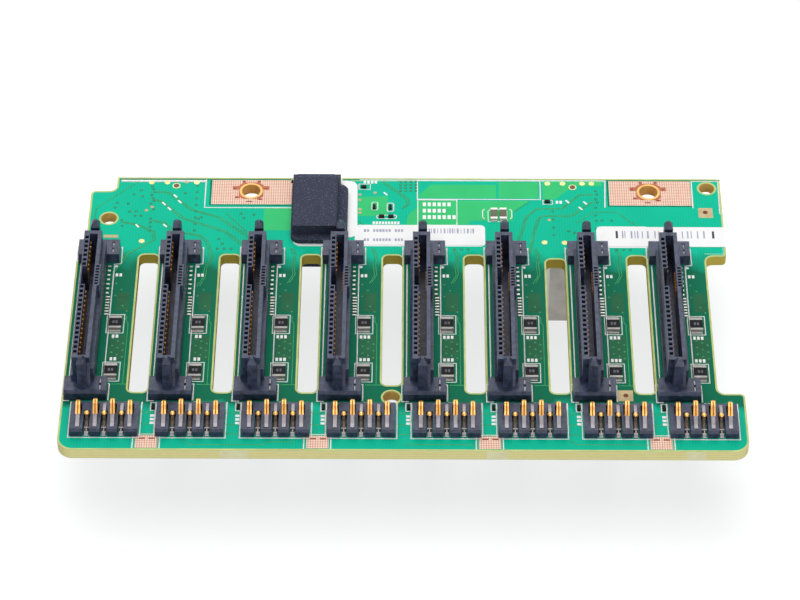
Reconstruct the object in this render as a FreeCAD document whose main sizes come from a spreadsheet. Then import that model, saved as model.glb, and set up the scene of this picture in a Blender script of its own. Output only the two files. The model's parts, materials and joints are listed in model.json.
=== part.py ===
"""Drive backplane board for an eight-bay server drive cage, as a parametric document.

Frame: millimetres. The origin is midway between the two screw holes, on the component
face of the board. X runs along the row of bays, Y towards the screwed edge, and Z out of
the component face, the way a drive is pulled off its receptacle.
"""
import FreeCAD, Part
import Sketcher
import os

PARTS_FOLDER = "parts"
TOUCH = 1e-4          # two points closer than this are one point

# Driving dimensions: alias, value in mm (or a plain count), meaning.
SIZES = [
    # board blank, laid out from its left edge, its far (screwed) edge and the bays
    ("board_thickness", 2.36, "laminate thickness"),
    ("datum_inset_x", 74.44, "left edge to the datum"),
    ("datum_inset_y", 4.0, "far edge to the datum"),
    ("last_bay_margin", 12.98, "last mating plane to the right edge"),
    ("foot_corner_radius", 3.0, "rounds at the near corners"),
    ("inner_corner_radius", 1.5, "rounds in the inside corners of the outline"),
    ("outer_corner_radius", 1.0, "rounds at the other outside corners"),
    ("cutaway_inset", 5.13, "depth of the cut-away in the right edge"),
    ("head_inset", 0.98, "right edge above the cut-away, in from the widest point"),
    ("shoulder_inset", 1.52, "left edge above the shoulder, in from the widest point"),
    ("shoulder_depth", 23.4, "far edge to the top of the left shoulder"),
    ("corner_notch_width", 6.62, "notch at the far left corner"),
    ("corner_notch_depth", 4.15, "notch at the far left corner"),
    # holes
    ("screw_hole_spacing", 80.8, "between the two screw holes"),
    ("screw_hole_radius", 1.9, "clearance for the cage screws"),
    ("guide_hole_radius", 1.6, "alignment holes in the two far corners"),
    ("left_guide_x", 5.64, "left edge to the left alignment hole"),
    ("left_guide_y", 12.33, "far edge to the left alignment hole"),
    ("right_guide_x", 3.75, "right edge to the right alignment hole"),
    ("right_guide_y", 2.85, "far edge to the right alignment hole"),
    ("pin_hole_radius", 1.65, "locating hole in the near strip"),
    ("pin_hole_y", 1.2, "near ends of the slots to the locating hole"),
    ("pin_hole_slot", 3, "airflow slot in line with the locating hole, counted from 0"),
    ("cage_slot", 5, "airflow slot over the signal cage, counted from 0"),
    # airflow slots between the bays
    ("bay_count", 8, "drive bays"),
    ("bay_pitch", 16.2, "from bay to bay"),
    ("slot_width", 3.8, "airflow slot"),
    ("slot_offset", 8.36, "mating plane to the slot on its right"),
    ("slot_far_margin", 3.4, "first contact to the far ends of the slots"),
    ("slot_near_margin", 2.95, "last contact to the near ends of the slots"),
    ("slot_corner_radius", 1.1, "rounds in the slots"),
    ("pin_hole_relief", 2.0, "middle slot stops this much short of the locating hole"),
    ("cage_relief", 1.0, "sixth slot stops this much short of the others"),
    # drive receptacle: X from its mating plane, Y from its first contact
    ("first_bay_x", 4.12, "left edge to the first mating plane"),
    ("first_contact_y", 26.35, "far edge to the first contact"),
    ("contact_pitch", 1.27, "drive contact pitch"),
    ("signal_count", 7, "contacts before the key"),
    ("power_start", 11, "place of the first contact after the key"),
    ("power_count", 15, "contacts after the key"),
    ("second_port_pitch", 0.8, "pitch of the contacts in the other wall"),
    ("second_port_start", 8.3, "first contact to the first one of the second port"),
    ("second_port_count", 7, "contacts in the other wall"),
    ("housing_height", 8.0, "top of the receptacle walls"),
    ("housing_left", 1.95, "mating plane to the outside of the contact wall"),
    ("housing_right", 1.5, "mating plane to the outside of the plain wall"),
    ("base_left", 2.4, "mating plane to the left side of the base"),
    ("base_right", 2.1, "mating plane to the right side of the base"),
    ("base_left_height", 3.0, "ledge on the left"),
    ("base_right_height", 5.0, "ledge on the right"),
    ("housing_end_margin", 1.9, "first contact to the far end"),
    ("housing_near_margin", 1.65, "last contact to the near end"),
    ("tongue_slot_left", 0.8, "mating plane to the contact wall"),
    ("tongue_slot_right", 0.75, "mating plane to the plain wall"),
    ("tongue_slot_margin", 0.95, "end contacts to the slot ends"),
    ("tongue_slot_floor", 1.5, "height of the slot floor"),
    ("key_depth", 0.85, "key recess into the contact wall"),
    ("key_half_length", 2.5, "key recess"),
    ("window_width", 0.7, "contact windows"),
    ("window_length", 0.76, "contact windows"),
    ("window_depth", 2.2, "contact windows"),
    ("window_skin", 0.25, "wall outside the windows"),
    ("port_wall", 1.95, "mating plane to the outside of the second port's wall"),
    ("port_wall_margin", 0.6, "second port's wall beyond its end windows"),
    ("port_window_length", 0.46, "windows of the second port"),
    ("ear_width", 8.1, "ears at both ends"),
    ("ear_length", 4.3, "ears at both ends"),
    ("ear_offset", 0.43, "middle of the ears to the right of the mating plane"),
    ("far_ear_height", 2.4, "far ear"),
    ("near_ear_height", 2.2, "near ear"),
    ("ear_chamfer", 0.5, "front edge of the near ear"),
    ("post_width", 1.9, "guide posts"),
    ("post_draft", 0.1, "taper of each side of a post, up to its shoulder"),
    ("post_thickness", 1.9, "guide posts"),
    ("post_shoulder", 8.0, "height where the point of a post starts"),
    ("post_height", 9.2, "top of the guide posts"),
    ("post_tip_width", 0.55, "flat on top of a post"),
    ("post_flare", 0.6, "how far the near post leans out at its foot"),
    ("gusset_width", 0.6, "web that braces the near post on its right"),
    ("gusset_height", 6.5, "top of the web that braces the near post"),
    ("far_post_gap", 0.8, "far end of the housing to the far post"),
    ("far_ear_margin", 0.7, "far post to the edge of its ear"),
    ("near_ear_margin", 1.6, "near post to the edge of its ear"),
    # drive contacts and board locks
    ("contact_width", 0.5, "drive contacts"),
    ("contact_stand_out", 0.18, "contact crown into the slot"),
    ("contact_height", 6.8, "top of the contacts"),
    ("port_contact_width", 0.34, "contacts of the second port"),
    ("lock_x", 3.3, "mating plane to the board locks"),
    ("lock_thickness", 0.3, "board locks"),
    ("lock_length", 2.8, "board locks"),
    ("lock_clearance", 0.08, "between a board lock and its ear"),
    # tray connector: X from its middle, Y from its front
    ("tray_offset_x", 4.6, "mating plane to the middle of the tray connector"),
    ("tray_gap", 2.1, "ears of the receptacles to the back"),
    ("tray_inset_y", 3.45, "near edge of the board to the front"),
    ("tray_width", 12.9, "tray connector"),
    ("tray_depth", 7.4, "tray connector"),
    ("tray_height", 1.8, "tray connector"),
    ("tray_contact_pitch", 1.64, "tray connector"),
    ("tray_channel_width", 1.25, "channels for the short springs"),
    ("tray_channel_length", 5.0, "front to the ends of the channels"),
    ("tray_floor", 0.35, "floor left under the wells of the long springs"),
    ("tray_well_start", 4.3, "front to the wells behind the long springs"),
    ("tray_rear_wall", 0.55, "wall behind the wells"),
    ("tray_nose", 0.6, "bevel along the front"),
    ("spring_width", 1.0, "tray springs"),
    ("spring_thickness", 0.22, "tray springs"),
    ("long_spring_root", 1.0, "front to the root of the long springs"),
    ("long_spring_knee", 3.0, "front to the bend of the long springs"),
    ("long_spring_knee_height", 2.95, "bend of the long springs"),
    ("long_spring_crown", 5.35, "front to the crown of the long springs"),
    ("long_spring_height", 4.0, "crown of the outer long springs"),
    ("middle_spring_lift", 0.4, "middle long springs stand higher by this"),
    ("short_spring_foot", 0.3, "solder foot of the short springs in front"),
    ("short_spring_riser", 3.4, "front to the riser of the short springs"),
    ("short_spring_crown", 0.9, "length of the crown of the short springs"),
    ("short_spring_height", 2.5, "crown of the short springs"),
    ("spring_end_gap", 0.1, "spring ends to the rear wall"),
    # parts soldered in the bays
    ("resistor_offset_x", 4.8, "mating plane to the bay resistors"),
    ("resistor_width", 2.45, "bay resistors"),
    ("resistor_length", 3.2, "bay resistors"),
    ("resistor_height", 0.6, "bay resistors"),
    ("resistor_cap", 0.5, "end caps of the bay resistors"),
    ("far_resistor_y", 16.25, "first contact to the far resistor of a bay"),
    ("near_resistor_y", 29.3, "first contact to the near resistor of a bay"),
    ("chip_length", 1.1, "small chip parts"),
    ("chip_width", 0.6, "small chip parts"),
    ("chip_height", 0.45, "small chip parts"),
    ("tray_chip_gap", 0.5, "side of a tray connector to the chip on its left"),
    ("tray_chip_y", 7.6, "front of a tray connector to the chip on its left"),
    ("strip_chip_a_x", 56.92, "left edge to a chip of the far strip"),
    ("strip_chip_a_y", 2.85, "far edge to it"),
    ("strip_chip_b_x", 60.62, "left edge to the next"),
    ("strip_chip_b_y", 11.65, "far edge to it"),
    ("strip_chip_c_x", 62.52, "left edge to the next"),
    ("strip_chip_c_y", 11.65, "far edge to it"),
    ("strip_chip_d_x", 62.37, "left edge to the next"),
    ("strip_chip_d_y", 8.95, "far edge to it"),
    ("strip_chip_e_x", 59.12, "left edge to the next"),
    ("strip_chip_e_y", 8.85, "far edge to it"),
    ("strip_chip_f_x", 94.2, "left edge to the next"),
    ("strip_chip_f_y", 7.1, "far edge to it"),
    ("pair_chip_length", 3.2, "pair of large chips on the far strip"),
    ("pair_chip_width", 1.4, "pair of large chips on the far strip"),
    ("pair_chip_height", 0.6, "pair of large chips on the far strip"),
    ("pair_chip_pitch", 1.83, "pair of large chips on the far strip"),
    ("pair_x", 84.25, "left edge to the middle of the pair"),
    ("pair_y", 11.0, "far edge to the middle of the pair"),
    # labels
    ("label_thickness", 0.12, "paper labels"),
    ("label_width", 25.1, "paper labels"),
    ("label_depth", 5.7, "paper labels"),
    ("left_label_x", 55.92, "left edge to the left label"),
    ("left_label_y", 14.25, "far edge to the left label"),
    ("right_label_x", 104.4, "left edge to the right label"),
    ("right_label_y", 14.5, "far edge to the right label"),
    # grip that clips over the far edge
    ("grip_x", 42.45, "left edge to the grip"),
    ("grip_foot_width", 11.35, "plate on the component face"),
    ("grip_foot_depth", 16.7, "plate on the component face"),
    ("grip_foot_near_y", 19.6, "far edge to the near end of the plate"),
    ("grip_foot_thickness", 1.0, "plate on the component face"),
    ("grip_corner_radius", 2.0, "plate on the component face"),
    ("grip_block_inset", 0.35, "left side of the plate to the raised block"),
    ("grip_block_width", 8.95, "raised block"),
    ("grip_block_near_y", 17.85, "far edge to the near end of the block"),
    ("grip_block_far_y", 1.65, "far edge to the far end of the block"),
    ("grip_block_height", 3.3, "top of the block above the board"),
    ("grip_bevel", 0.7, "bevel at the far end of the block"),
    ("grip_side_bevel", 0.25, "bevels along the sides of the block"),
    ("grip_block_chamfer", 0.9, "far corners of the block, seen from above"),
    ("grip_lead_length", 1.8, "sloping far end of the block"),
    ("grip_web_clearance", 0.12, "between the web and the notch"),
    ("grip_notch_width", 9.9, "notch in the far edge"),
    ("grip_notch_depth", 1.3, "notch in the far edge"),
    ("grip_keeper_thickness", 1.1, "plate under the board"),
    ("grip_keeper_near_y", 22.65, "far edge to the near end of the plate under the board"),
    # rear signal connector
    ("cage_x", 94.42, "left edge to the signal cage"),
    ("cage_width", 15.0, "signal cage"),
    ("cage_near_y", 23.15, "far edge to the back of the signal cage"),
    ("cage_length", 19.4, "signal cage"),
    ("cage_height", 15.5, "signal cage"),
    ("cage_wall", 0.45, "sheet of the signal cage"),
    ("insert_clearance", 0.1, "insert inside the signal cage"),
    ("insert_block_length", 9.0, "block at the back of each port"),
    ("insert_tongue_length", 7.0, "tongue in front of the block"),
    ("insert_tongue_thickness", 2.2, "tongue"),
    ("insert_tongue_margin", 1.6, "tongue to the side of the cage"),
    # rear power connector
    ("power_x", 15.9, "left edge to the power connector"),
    ("power_width", 9.6, "power connector"),
    ("power_near_y", 22.35, "far edge to the power connector"),
    ("power_length", 17.4, "power connector"),
    ("power_height", 10.5, "power connector"),
    ("power_cell_pitch", 4.2, "cells of the power connector"),
    ("power_cell_size", 3.5, "cells of the power connector"),
    ("power_cell_depth", 8.4, "cells of the power connector"),
    ("power_cell_rows", 2, "cells across"),
    ("power_cell_columns", 4, "cells along"),
    ("power_pin_size", 1.1, "pins"),
    ("power_pin_length", 6.4, "pins"),
    ("power_latch_width", 3.6, "latch ramp on the side"),
    ("power_latch_depth", 1.5, "latch ramp on the side"),
    # rear chips
    ("controller_size", 7.0, "bay controller chip"),
    ("controller_height", 1.0, "bay controller chip"),
    ("controller_x", 68.2, "left edge to the bay controller chip"),
    ("controller_y", 9.5, "far edge to the bay controller chip"),
]


class Term:
    """A size worked out from the sheet: the expression text with its present value."""

    def __init__(self, text, value):
        self.text = text
        self.value = value

    def _joined(self, sign, other, value):
        other_text = other.text if isinstance(other, Term) else repr(other)
        return Term("(%s %s %s)" % (self.text, sign, other_text), value)

    def __add__(self, other):
        return self._joined("+", other, self.value + number(other))

    def __sub__(self, other):
        return self._joined("-", other, self.value - number(other))

    def __mul__(self, other):
        return self._joined("*", other, self.value * number(other))

    def __truediv__(self, other):
        return self._joined("/", other, self.value / number(other))

    def __neg__(self):
        return Term("(0 - %s)" % self.text, -self.value)


def number(quantity):
    """The plain value of a Term or a number."""
    return quantity.value if isinstance(quantity, Term) else quantity


doc = FreeCAD.newDocument("DriveBackplane")
sheet = doc.addObject("Spreadsheet::Sheet", "Sizes")
for row, (alias, value, meaning) in enumerate(SIZES, 1):
    sheet.set("A%d" % row, alias)
    sheet.set("B%d" % row, str(value))
    sheet.set("C%d" % row, meaning)
    sheet.setAlias("B%d" % row, alias)
doc.recompute()

VALUES = {alias: value for alias, value, meaning in SIZES}
ZERO = Term("0", 0.0)


def size(alias):
    """The named size of the sheet."""
    return Term("Sizes." + alias, VALUES[alias])


def count(alias):
    """A named count of the sheet, as a whole number."""
    return int(VALUES[alias])


# ---------------------------------------------------------------- drawing helpers

def bind(target, name, term):
    """Ties a property to the sheet."""
    target.setExpression(name, term.text)


def new_body(name):
    """An empty body of its own."""
    return doc.addObject("PartDesign::Body", name)


def new_sketch(body, name, plane="XY_Plane", offset=ZERO):
    """A sketch on one of the body's own planes, moved along the plane's normal."""
    sketch = body.newObject("Sketcher::SketchObject", name)
    origin_plane = [item for item in body.Origin.OriginFeatures if item.Role == plane][0]
    sketch.AttachmentSupport = [(origin_plane, "")]
    sketch.MapMode = "FlatFace"
    sketch.AttachmentOffset = FreeCAD.Placement(
        FreeCAD.Vector(0, 0, offset.value), FreeCAD.Rotation())
    bind(sketch, "AttachmentOffset.Base.z", offset)
    return sketch


def pin_point(sketch, geometry, vertex, across, along):
    """Holds one point of the sketch at its two distances from the sketch origin."""
    for kind, term in (("DistanceX", across), ("DistanceY", along)):
        index = sketch.addConstraint(
            Sketcher.Constraint(kind, -1, 1, geometry, vertex, term.value))
        sketch.setExpression("Constraints[%d]" % index, term.text)


def draw_polygon(sketch, corners):
    """A closed outline of straight lines through corners given as pairs of sizes."""
    points = [FreeCAD.Vector(across.value, along.value, 0) for across, along in corners]
    lines = [sketch.addGeometry(Part.LineSegment(start, end), False)
             for start, end in zip(points, points[1:] + points[:1])]
    for line, following in zip(lines, lines[1:] + lines[:1]):
        sketch.addConstraint(Sketcher.Constraint("Coincident", line, 2, following, 1))
    for line, (across, along) in zip(lines, corners):
        pin_point(sketch, line, 1, across, along)


def draw_rectangle(sketch, left, right, near, far):
    """A rectangle between two pairs of sizes."""
    draw_polygon(sketch, [(left, near), (right, near), (right, far), (left, far)])


def draw_circle(sketch, across, along, radius):
    """A circle with its centre and radius held."""
    circle = sketch.addGeometry(
        Part.Circle(FreeCAD.Vector(across.value, along.value, 0),
                    FreeCAD.Vector(0, 0, 1), radius.value), False)
    pin_point(sketch, circle, 3, across, along)
    index = sketch.addConstraint(Sketcher.Constraint("Radius", circle, radius.value))
    sketch.setExpression("Constraints[%d]" % index, radius.text)


def add_pad(body, sketch, length, downwards=False):
    """Material from the sketch, along its normal or against it."""
    pad = body.newObject("PartDesign::Pad", sketch.Name + "_pad")
    pad.Profile = sketch
    bind(pad, "Length", length)
    pad.Reversed = downwards
    return pad


def add_pocket(body, sketch, depth=None, forwards=False):
    """A cut against the sketch's normal, or along it; through everything with no depth."""
    pocket = body.newObject("PartDesign::Pocket", sketch.Name + "_pocket")
    pocket.Profile = sketch
    pocket.Reversed = forwards
    if depth is None:
        pocket.Type = "ThroughAll"
    else:
        bind(pocket, "Length", depth)
    return pocket


def add_row(body, feature, sketch, copies, pitch):
    """Repeats a feature along -Y at the given pitch."""
    pattern = body.newObject("PartDesign::LinearPattern", feature.Name + "_row")
    pattern.Originals = [feature]
    pattern.Direction = (sketch, ["V_Axis"])
    pattern.Reversed = True
    bind(pattern, "Length", pitch * (copies - 1))
    pattern.Occurrences = copies
    body.Tip = pattern
    return pattern


def pad_block(body, name, left, right, near, far, bottom, top):
    """A block given by its six sides."""
    sketch = new_sketch(body, name, offset=bottom)
    draw_rectangle(sketch, left, right, near, far)
    return add_pad(body, sketch, top - bottom)


def cut_block(body, name, left, right, near, far, top, depth):
    """A rectangular cut from a height downwards."""
    sketch = new_sketch(body, name, offset=top)
    draw_rectangle(sketch, left, right, near, far)
    return add_pocket(body, sketch, depth)


def upright_edges(shape, corners):
    """Names of the upright edges that stand at the given corners."""
    names = []
    for index, edge in enumerate(shape.Edges, 1):
        foot, head = edge.firstVertex().Point, edge.lastVertex().Point
        if abs(foot.x - head.x) > TOUCH or abs(foot.y - head.y) > TOUCH:
            continue
        for across, along in corners:
            if abs(foot.x - across.value) < TOUCH and abs(foot.y - along.value) < TOUCH:
                names.append("Edge%d" % index)
    return names


def round_corners(body, feature, corners, radius, name):
    """Fillets the upright edges of a feature at the given corners."""
    doc.recompute()
    fillet = body.newObject("PartDesign::Fillet", name)
    fillet.Base = (feature, upright_edges(feature.Shape, corners))
    bind(fillet, "Radius", radius)
    doc.recompute()
    return fillet


def placed_copy(form, name, across=ZERO, along=ZERO, height=ZERO):
    """A copy of a form, moved to its place."""
    copy = doc.addObject("Part::Compound", name)
    copy.Links = [form]
    for axis, term in (("x", across), ("y", along), ("z", height)):
        bind(copy, "Placement.Base." + axis, term)
    return copy


def group(name, members):
    """Separate solids that make one sub-part."""
    together = doc.addObject("Part::Compound", name)
    together.Links = members
    return together


NODES = []


def keep(feature, label):
    """Names a finished sub-part and puts it on the list to be written."""
    feature.Label = label
    NODES.append(feature)


# ---------------------------------------------------------------- common places

BAYS = range(count("bay_count"))
LEFT = -size("datum_inset_x")
FAR = size("datum_inset_y")
UNDERSIDE = -size("board_thickness")


def bay_x(bay):
    """Mating plane of a bay, counted from 0."""
    return LEFT + size("first_bay_x") + size("bay_pitch") * bay


RIGHT = bay_x(count("bay_count") - 1) + size("last_bay_margin")

# Along a receptacle, from its first contact.
LAST_CONTACT_Y = -size("contact_pitch") * (count("power_start") + count("power_count") - 1)
HOUSING_FAR = size("housing_end_margin")
HOUSING_NEAR = LAST_CONTACT_Y - size("housing_near_margin")
FAR_POST_FRONT = HOUSING_FAR + size("far_post_gap")
FAR_EAR_END = FAR_POST_FRONT + size("post_thickness") + size("far_ear_margin")
NEAR_POST_FRONT = HOUSING_NEAR - size("post_thickness")
NEAR_EAR_END = NEAR_POST_FRONT - size("near_ear_margin")
FAR_LOCK_Y = FAR_EAR_END - size("ear_length") / 2
NEAR_LOCK_Y = NEAR_EAR_END + size("ear_length") / 2

# Down the board, from the far edge to the near edge.
RECEPTACLE_Y = FAR - size("first_contact_y")
SLOT_FAR = RECEPTACLE_Y + size("slot_far_margin")
SLOT_NEAR = RECEPTACLE_Y + LAST_CONTACT_Y - size("slot_near_margin")
TRAY_Y = RECEPTACLE_Y + NEAR_EAR_END - size("tray_gap") - size("tray_depth")
NEAR = TRAY_Y - size("tray_inset_y")


# ---------------------------------------------------------------- circuit board

def make_board():
    """The laminate: outline, edge notch, airflow slots and holes."""
    body = new_body("BoardBody")
    cut_x = RIGHT - size("cutaway_inset")
    head_x = RIGHT - size("head_inset")
    shoulder_x = LEFT + size("shoulder_inset")
    shoulder_y = FAR - size("shoulder_depth")
    corner_x = LEFT + size("corner_notch_width")
    corner_y = FAR - size("corner_notch_depth")
    notch_left = LEFT + size("grip_x")
    notch_right = notch_left + size("grip_notch_width")
    notch_y = FAR - size("grip_notch_depth")
    foot_corners = [(LEFT, NEAR), (RIGHT, NEAR)]
    inner_corners = [(cut_x, SLOT_NEAR), (cut_x, SLOT_FAR), (corner_x, corner_y)]
    outer_corners = [(RIGHT, SLOT_NEAR), (head_x, SLOT_FAR), (head_x, FAR),
                     (shoulder_x, corner_y)]
    outline = new_sketch(body, "board_outline")
    draw_polygon(outline, [
        foot_corners[0], foot_corners[1], outer_corners[0], inner_corners[0],
        inner_corners[1], outer_corners[1], outer_corners[2],
        (notch_right, FAR), (notch_right, notch_y), (notch_left, notch_y), (notch_left, FAR),
        (corner_x, FAR), inner_corners[2], outer_corners[3],
        (shoulder_x, shoulder_y), (LEFT, shoulder_y - size("shoulder_inset"))])
    blank = add_pad(body, outline, size("board_thickness"), downwards=True)
    feet = round_corners(body, blank, foot_corners, size("foot_corner_radius"), "foot_rounds")
    inner = round_corners(body, feet, inner_corners, size("inner_corner_radius"),
                          "inner_rounds")
    round_corners(body, inner, outer_corners, size("outer_corner_radius"), "outer_rounds")

    slots = new_sketch(body, "airflow_slots")
    slot_corners = []
    for index in BAYS[:-1]:
        left = bay_x(index) + size("slot_offset")
        right = left + size("slot_width")
        near = SLOT_NEAR
        far = SLOT_FAR
        if index == count("pin_hole_slot"):
            near = SLOT_NEAR + size("pin_hole_relief")
        if index == count("cage_slot"):
            far = SLOT_FAR - size("cage_relief")
        draw_rectangle(slots, left, right, near, far)
        slot_corners += [(left, near), (right, near), (right, far), (left, far)]
    slot_cut = add_pocket(body, slots)
    round_corners(body, slot_cut, slot_corners, size("slot_corner_radius"), "slot_rounds")

    holes = new_sketch(body, "board_holes")
    half = size("screw_hole_spacing") / 2
    for side in (-half, half):
        draw_circle(holes, side, ZERO, size("screw_hole_radius"))
    draw_circle(holes, LEFT + size("left_guide_x"), FAR - size("left_guide_y"),
                size("guide_hole_radius"))
    draw_circle(holes, RIGHT - size("right_guide_x"), FAR - size("right_guide_y"),
                size("guide_hole_radius"))
    pin_slot_middle = bay_x(count("pin_hole_slot")) + size("slot_offset") \
        + size("slot_width") / 2
    draw_circle(holes, pin_slot_middle, SLOT_NEAR - size("pin_hole_y"),
                size("pin_hole_radius"))
    add_pocket(body, holes)
    keep(body, "circuit_board")


# ---------------------------------------------------------------- drive receptacles

EAR_LEFT = size("ear_offset") - size("ear_width") / 2
EAR_RIGHT = size("ear_offset") + size("ear_width") / 2


def pad_post(body, name, near, flare):
    """A tapered guide post with a hipped point; flare is how far its foot leans nearer."""
    half = size("post_width") / 2
    tip = size("post_tip_width") / 2
    far = near + size("post_thickness")
    middle = near + size("post_thickness") / 2
    shoulder = size("post_shoulder")
    neck = half - size("post_draft")
    top = size("post_height")
    stem = new_sketch(body, name + "_stem", plane="XZ_Plane", offset=-far)
    draw_polygon(stem, [(-half, ZERO), (half, ZERO), (neck, shoulder), (tip, top),
                        (-tip, top), (-neck, shoulder)])
    add_pad(body, stem, size("post_thickness") + flare)
    slopes = new_sketch(body, name + "_slopes", plane="YZ_Plane", offset=half)
    front = [(near, shoulder), (middle - tip, top), (near - flare, top)]
    if flare is not ZERO:
        front.append((near - flare, size("near_ear_height")))
    draw_polygon(slopes, front)
    draw_polygon(slopes, [(far, shoulder), (far, top), (middle + tip, top)])
    add_pocket(body, slopes, size("post_width"))


def cut_windows(body, name, left, right, first_y, length, copies, pitch):
    """A row of contact windows down one wall of the receptacle."""
    sketch = new_sketch(body, name, offset=size("housing_height"))
    draw_rectangle(sketch, left, right, first_y - length / 2, first_y + length / 2)
    window = add_pocket(body, sketch, size("window_depth"))
    add_row(body, window, sketch, copies, pitch)


def make_receptacle_form():
    """Housing of one drive receptacle."""
    body = new_body("ReceptacleForm")
    top = size("housing_height")
    section = new_sketch(body, "housing_section", plane="XZ_Plane", offset=-HOUSING_FAR)
    draw_polygon(section, [
        (-size("base_left"), ZERO), (size("base_right"), ZERO),
        (size("base_right"), size("base_right_height")),
        (size("housing_right"), size("base_right_height")), (size("housing_right"), top),
        (-size("housing_left"), top),
        (-size("housing_left"), size("base_left_height") + size("base_left")
         - size("housing_left")),
        (-size("base_left"), size("base_left_height"))])
    add_pad(body, section, HOUSING_FAR - HOUSING_NEAR)
    port_far = -size("second_port_start") + size("port_wall_margin")
    port_near = -size("second_port_start") - size("port_wall_margin") \
        - size("second_port_pitch") * (count("second_port_count") - 1)
    pad_block(body, "port_wall", size("tongue_slot_right"), size("port_wall"),
              port_near, port_far, size("base_right_height"), top)
    pad_block(body, "far_ear", EAR_LEFT, EAR_RIGHT, FAR_EAR_END - size("ear_length"),
              FAR_EAR_END, ZERO, size("far_ear_height"))
    near_ear = new_sketch(body, "near_ear", plane="YZ_Plane", offset=EAR_LEFT)
    ear_back = NEAR_EAR_END + size("ear_length")
    draw_polygon(near_ear, [
        (NEAR_EAR_END, ZERO), (ear_back, ZERO), (ear_back, size("near_ear_height")),
        (NEAR_EAR_END + size("ear_chamfer"), size("near_ear_height")),
        (NEAR_EAR_END, size("near_ear_height") - size("ear_chamfer"))])
    add_pad(body, near_ear, size("ear_width"))
    pad_post(body, "far_post", FAR_POST_FRONT, ZERO)
    pad_post(body, "near_post", NEAR_POST_FRONT, size("post_flare"))
    gusset = new_sketch(body, "post_gusset", plane="YZ_Plane",
                        offset=size("housing_right") - size("gusset_width"))
    draw_polygon(gusset, [
        (NEAR_POST_FRONT, size("near_ear_height")),
        (HOUSING_NEAR, size("near_ear_height")), (HOUSING_NEAR, size("gusset_height"))])
    add_pad(body, gusset, size("gusset_width"))

    cut_block(body, "tongue_slot", -size("tongue_slot_left"), size("tongue_slot_right"),
              LAST_CONTACT_Y - size("tongue_slot_margin"), size("tongue_slot_margin"),
              top, top - size("tongue_slot_floor"))
    key_y = -size("contact_pitch") * (count("signal_count") - 1 + count("power_start")) / 2
    key_left = -size("tongue_slot_left") - size("key_depth")
    cut_block(body, "key_recess", key_left, -size("tongue_slot_left"),
              key_y - size("key_half_length"), key_y + size("key_half_length"),
              top, top - size("tongue_slot_floor"))
    for name, y in (("far_lock_slit", FAR_LOCK_Y), ("near_lock_slit", NEAR_LOCK_Y)):
        half_x = size("lock_thickness") / 2 + size("lock_clearance")
        half_y = size("lock_length") / 2 + size("lock_clearance")
        sketch = new_sketch(body, name, offset=size("far_ear_height"))
        draw_rectangle(sketch, size("lock_x") - half_x, size("lock_x") + half_x,
                       y - half_y, y + half_y)
        add_pocket(body, sketch)
    window_left = -size("housing_left") + size("window_skin")
    window_right = window_left + size("window_width")
    cut_windows(body, "signal_windows", window_left, window_right, ZERO,
                size("window_length"), count("signal_count"), size("contact_pitch"))
    cut_windows(body, "power_windows", window_left, window_right,
                -size("contact_pitch") * count("power_start"), size("window_length"),
                count("power_count"), size("contact_pitch"))
    port_right = size("port_wall") - size("window_skin")
    cut_windows(body, "port_windows", port_right - size("window_width"), port_right,
                -size("second_port_start"), size("port_window_length"),
                count("second_port_count"), size("second_port_pitch"))
    return body


def make_contact_form(name, wall, towards, width):
    """One contact strip that stands on the slot floor against a wall of the slot."""
    body = new_body(name)
    crown = size("contact_stand_out") * towards
    sketch = new_sketch(body, name + "_section", plane="XZ_Plane", offset=-width / 2)
    draw_polygon(sketch, [
        (wall, size("tongue_slot_floor")),
        (wall + crown, size("contact_height") - size("contact_stand_out") * 2),
        (wall, size("contact_height"))])
    add_pad(body, sketch, width)
    return body


def make_contact_set_form():
    """All contacts of one receptacle."""
    contact = make_contact_form("DriveContact", -size("tongue_slot_left"), 1,
                                size("contact_width"))
    port_contact = make_contact_form("PortContact", size("tongue_slot_right"), -1,
                                     size("port_contact_width"))
    signals = list(range(count("signal_count")))
    powers = [count("power_start") + index for index in range(count("power_count"))]
    members = []
    for place in signals + powers:
        members.append(placed_copy(contact, "contact_%d" % place,
                                   along=-size("contact_pitch") * place))
    for place in range(count("second_port_count")):
        port_y = -size("second_port_start") - size("second_port_pitch") * place
        members.append(placed_copy(port_contact, "port_contact_%d" % place, along=port_y))
    return group("ContactSet", members)


def make_receptacles():
    """The drive receptacles, one for each bay, with their contacts."""
    form = make_receptacle_form()
    contacts = make_contact_set_form()
    for bay in BAYS:
        housing = placed_copy(form, "receptacle_%d" % bay, bay_x(bay), RECEPTACLE_Y)
        keep(housing, "drive_connector_housing_%d" % (bay + 1))
        contact_set = placed_copy(contacts, "contacts_%d" % bay, bay_x(bay), RECEPTACLE_Y)
        keep(contact_set, "drive_connector_contacts_%d" % (bay + 1))


def make_board_locks():
    """Metal tabs soldered to the board that hold the ears down."""
    body = new_body("LockForm")
    half_x = size("lock_thickness") / 2
    half_y = size("lock_length") / 2
    pad_block(body, "lock_blade", size("lock_x") - half_x, size("lock_x") + half_x,
              -half_y, half_y, ZERO, size("near_ear_height"))
    members = []
    for bay in BAYS:
        for name, y in (("far", FAR_LOCK_Y), ("near", NEAR_LOCK_Y)):
            members.append(placed_copy(body, "%s_lock_%d" % (name, bay), bay_x(bay),
                                       RECEPTACLE_Y + y))
    keep(group("LockGroup", members), "board_locks")


# ---------------------------------------------------------------- tray connectors

TRAY_PLACES = 7
SHORT_PLACES = (1, 3, 5)


def spring_x(place):
    """Middle of a tray spring, counted from 0 at the left."""
    return size("tray_contact_pitch") * (place - (TRAY_PLACES - 1) / 2)


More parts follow.
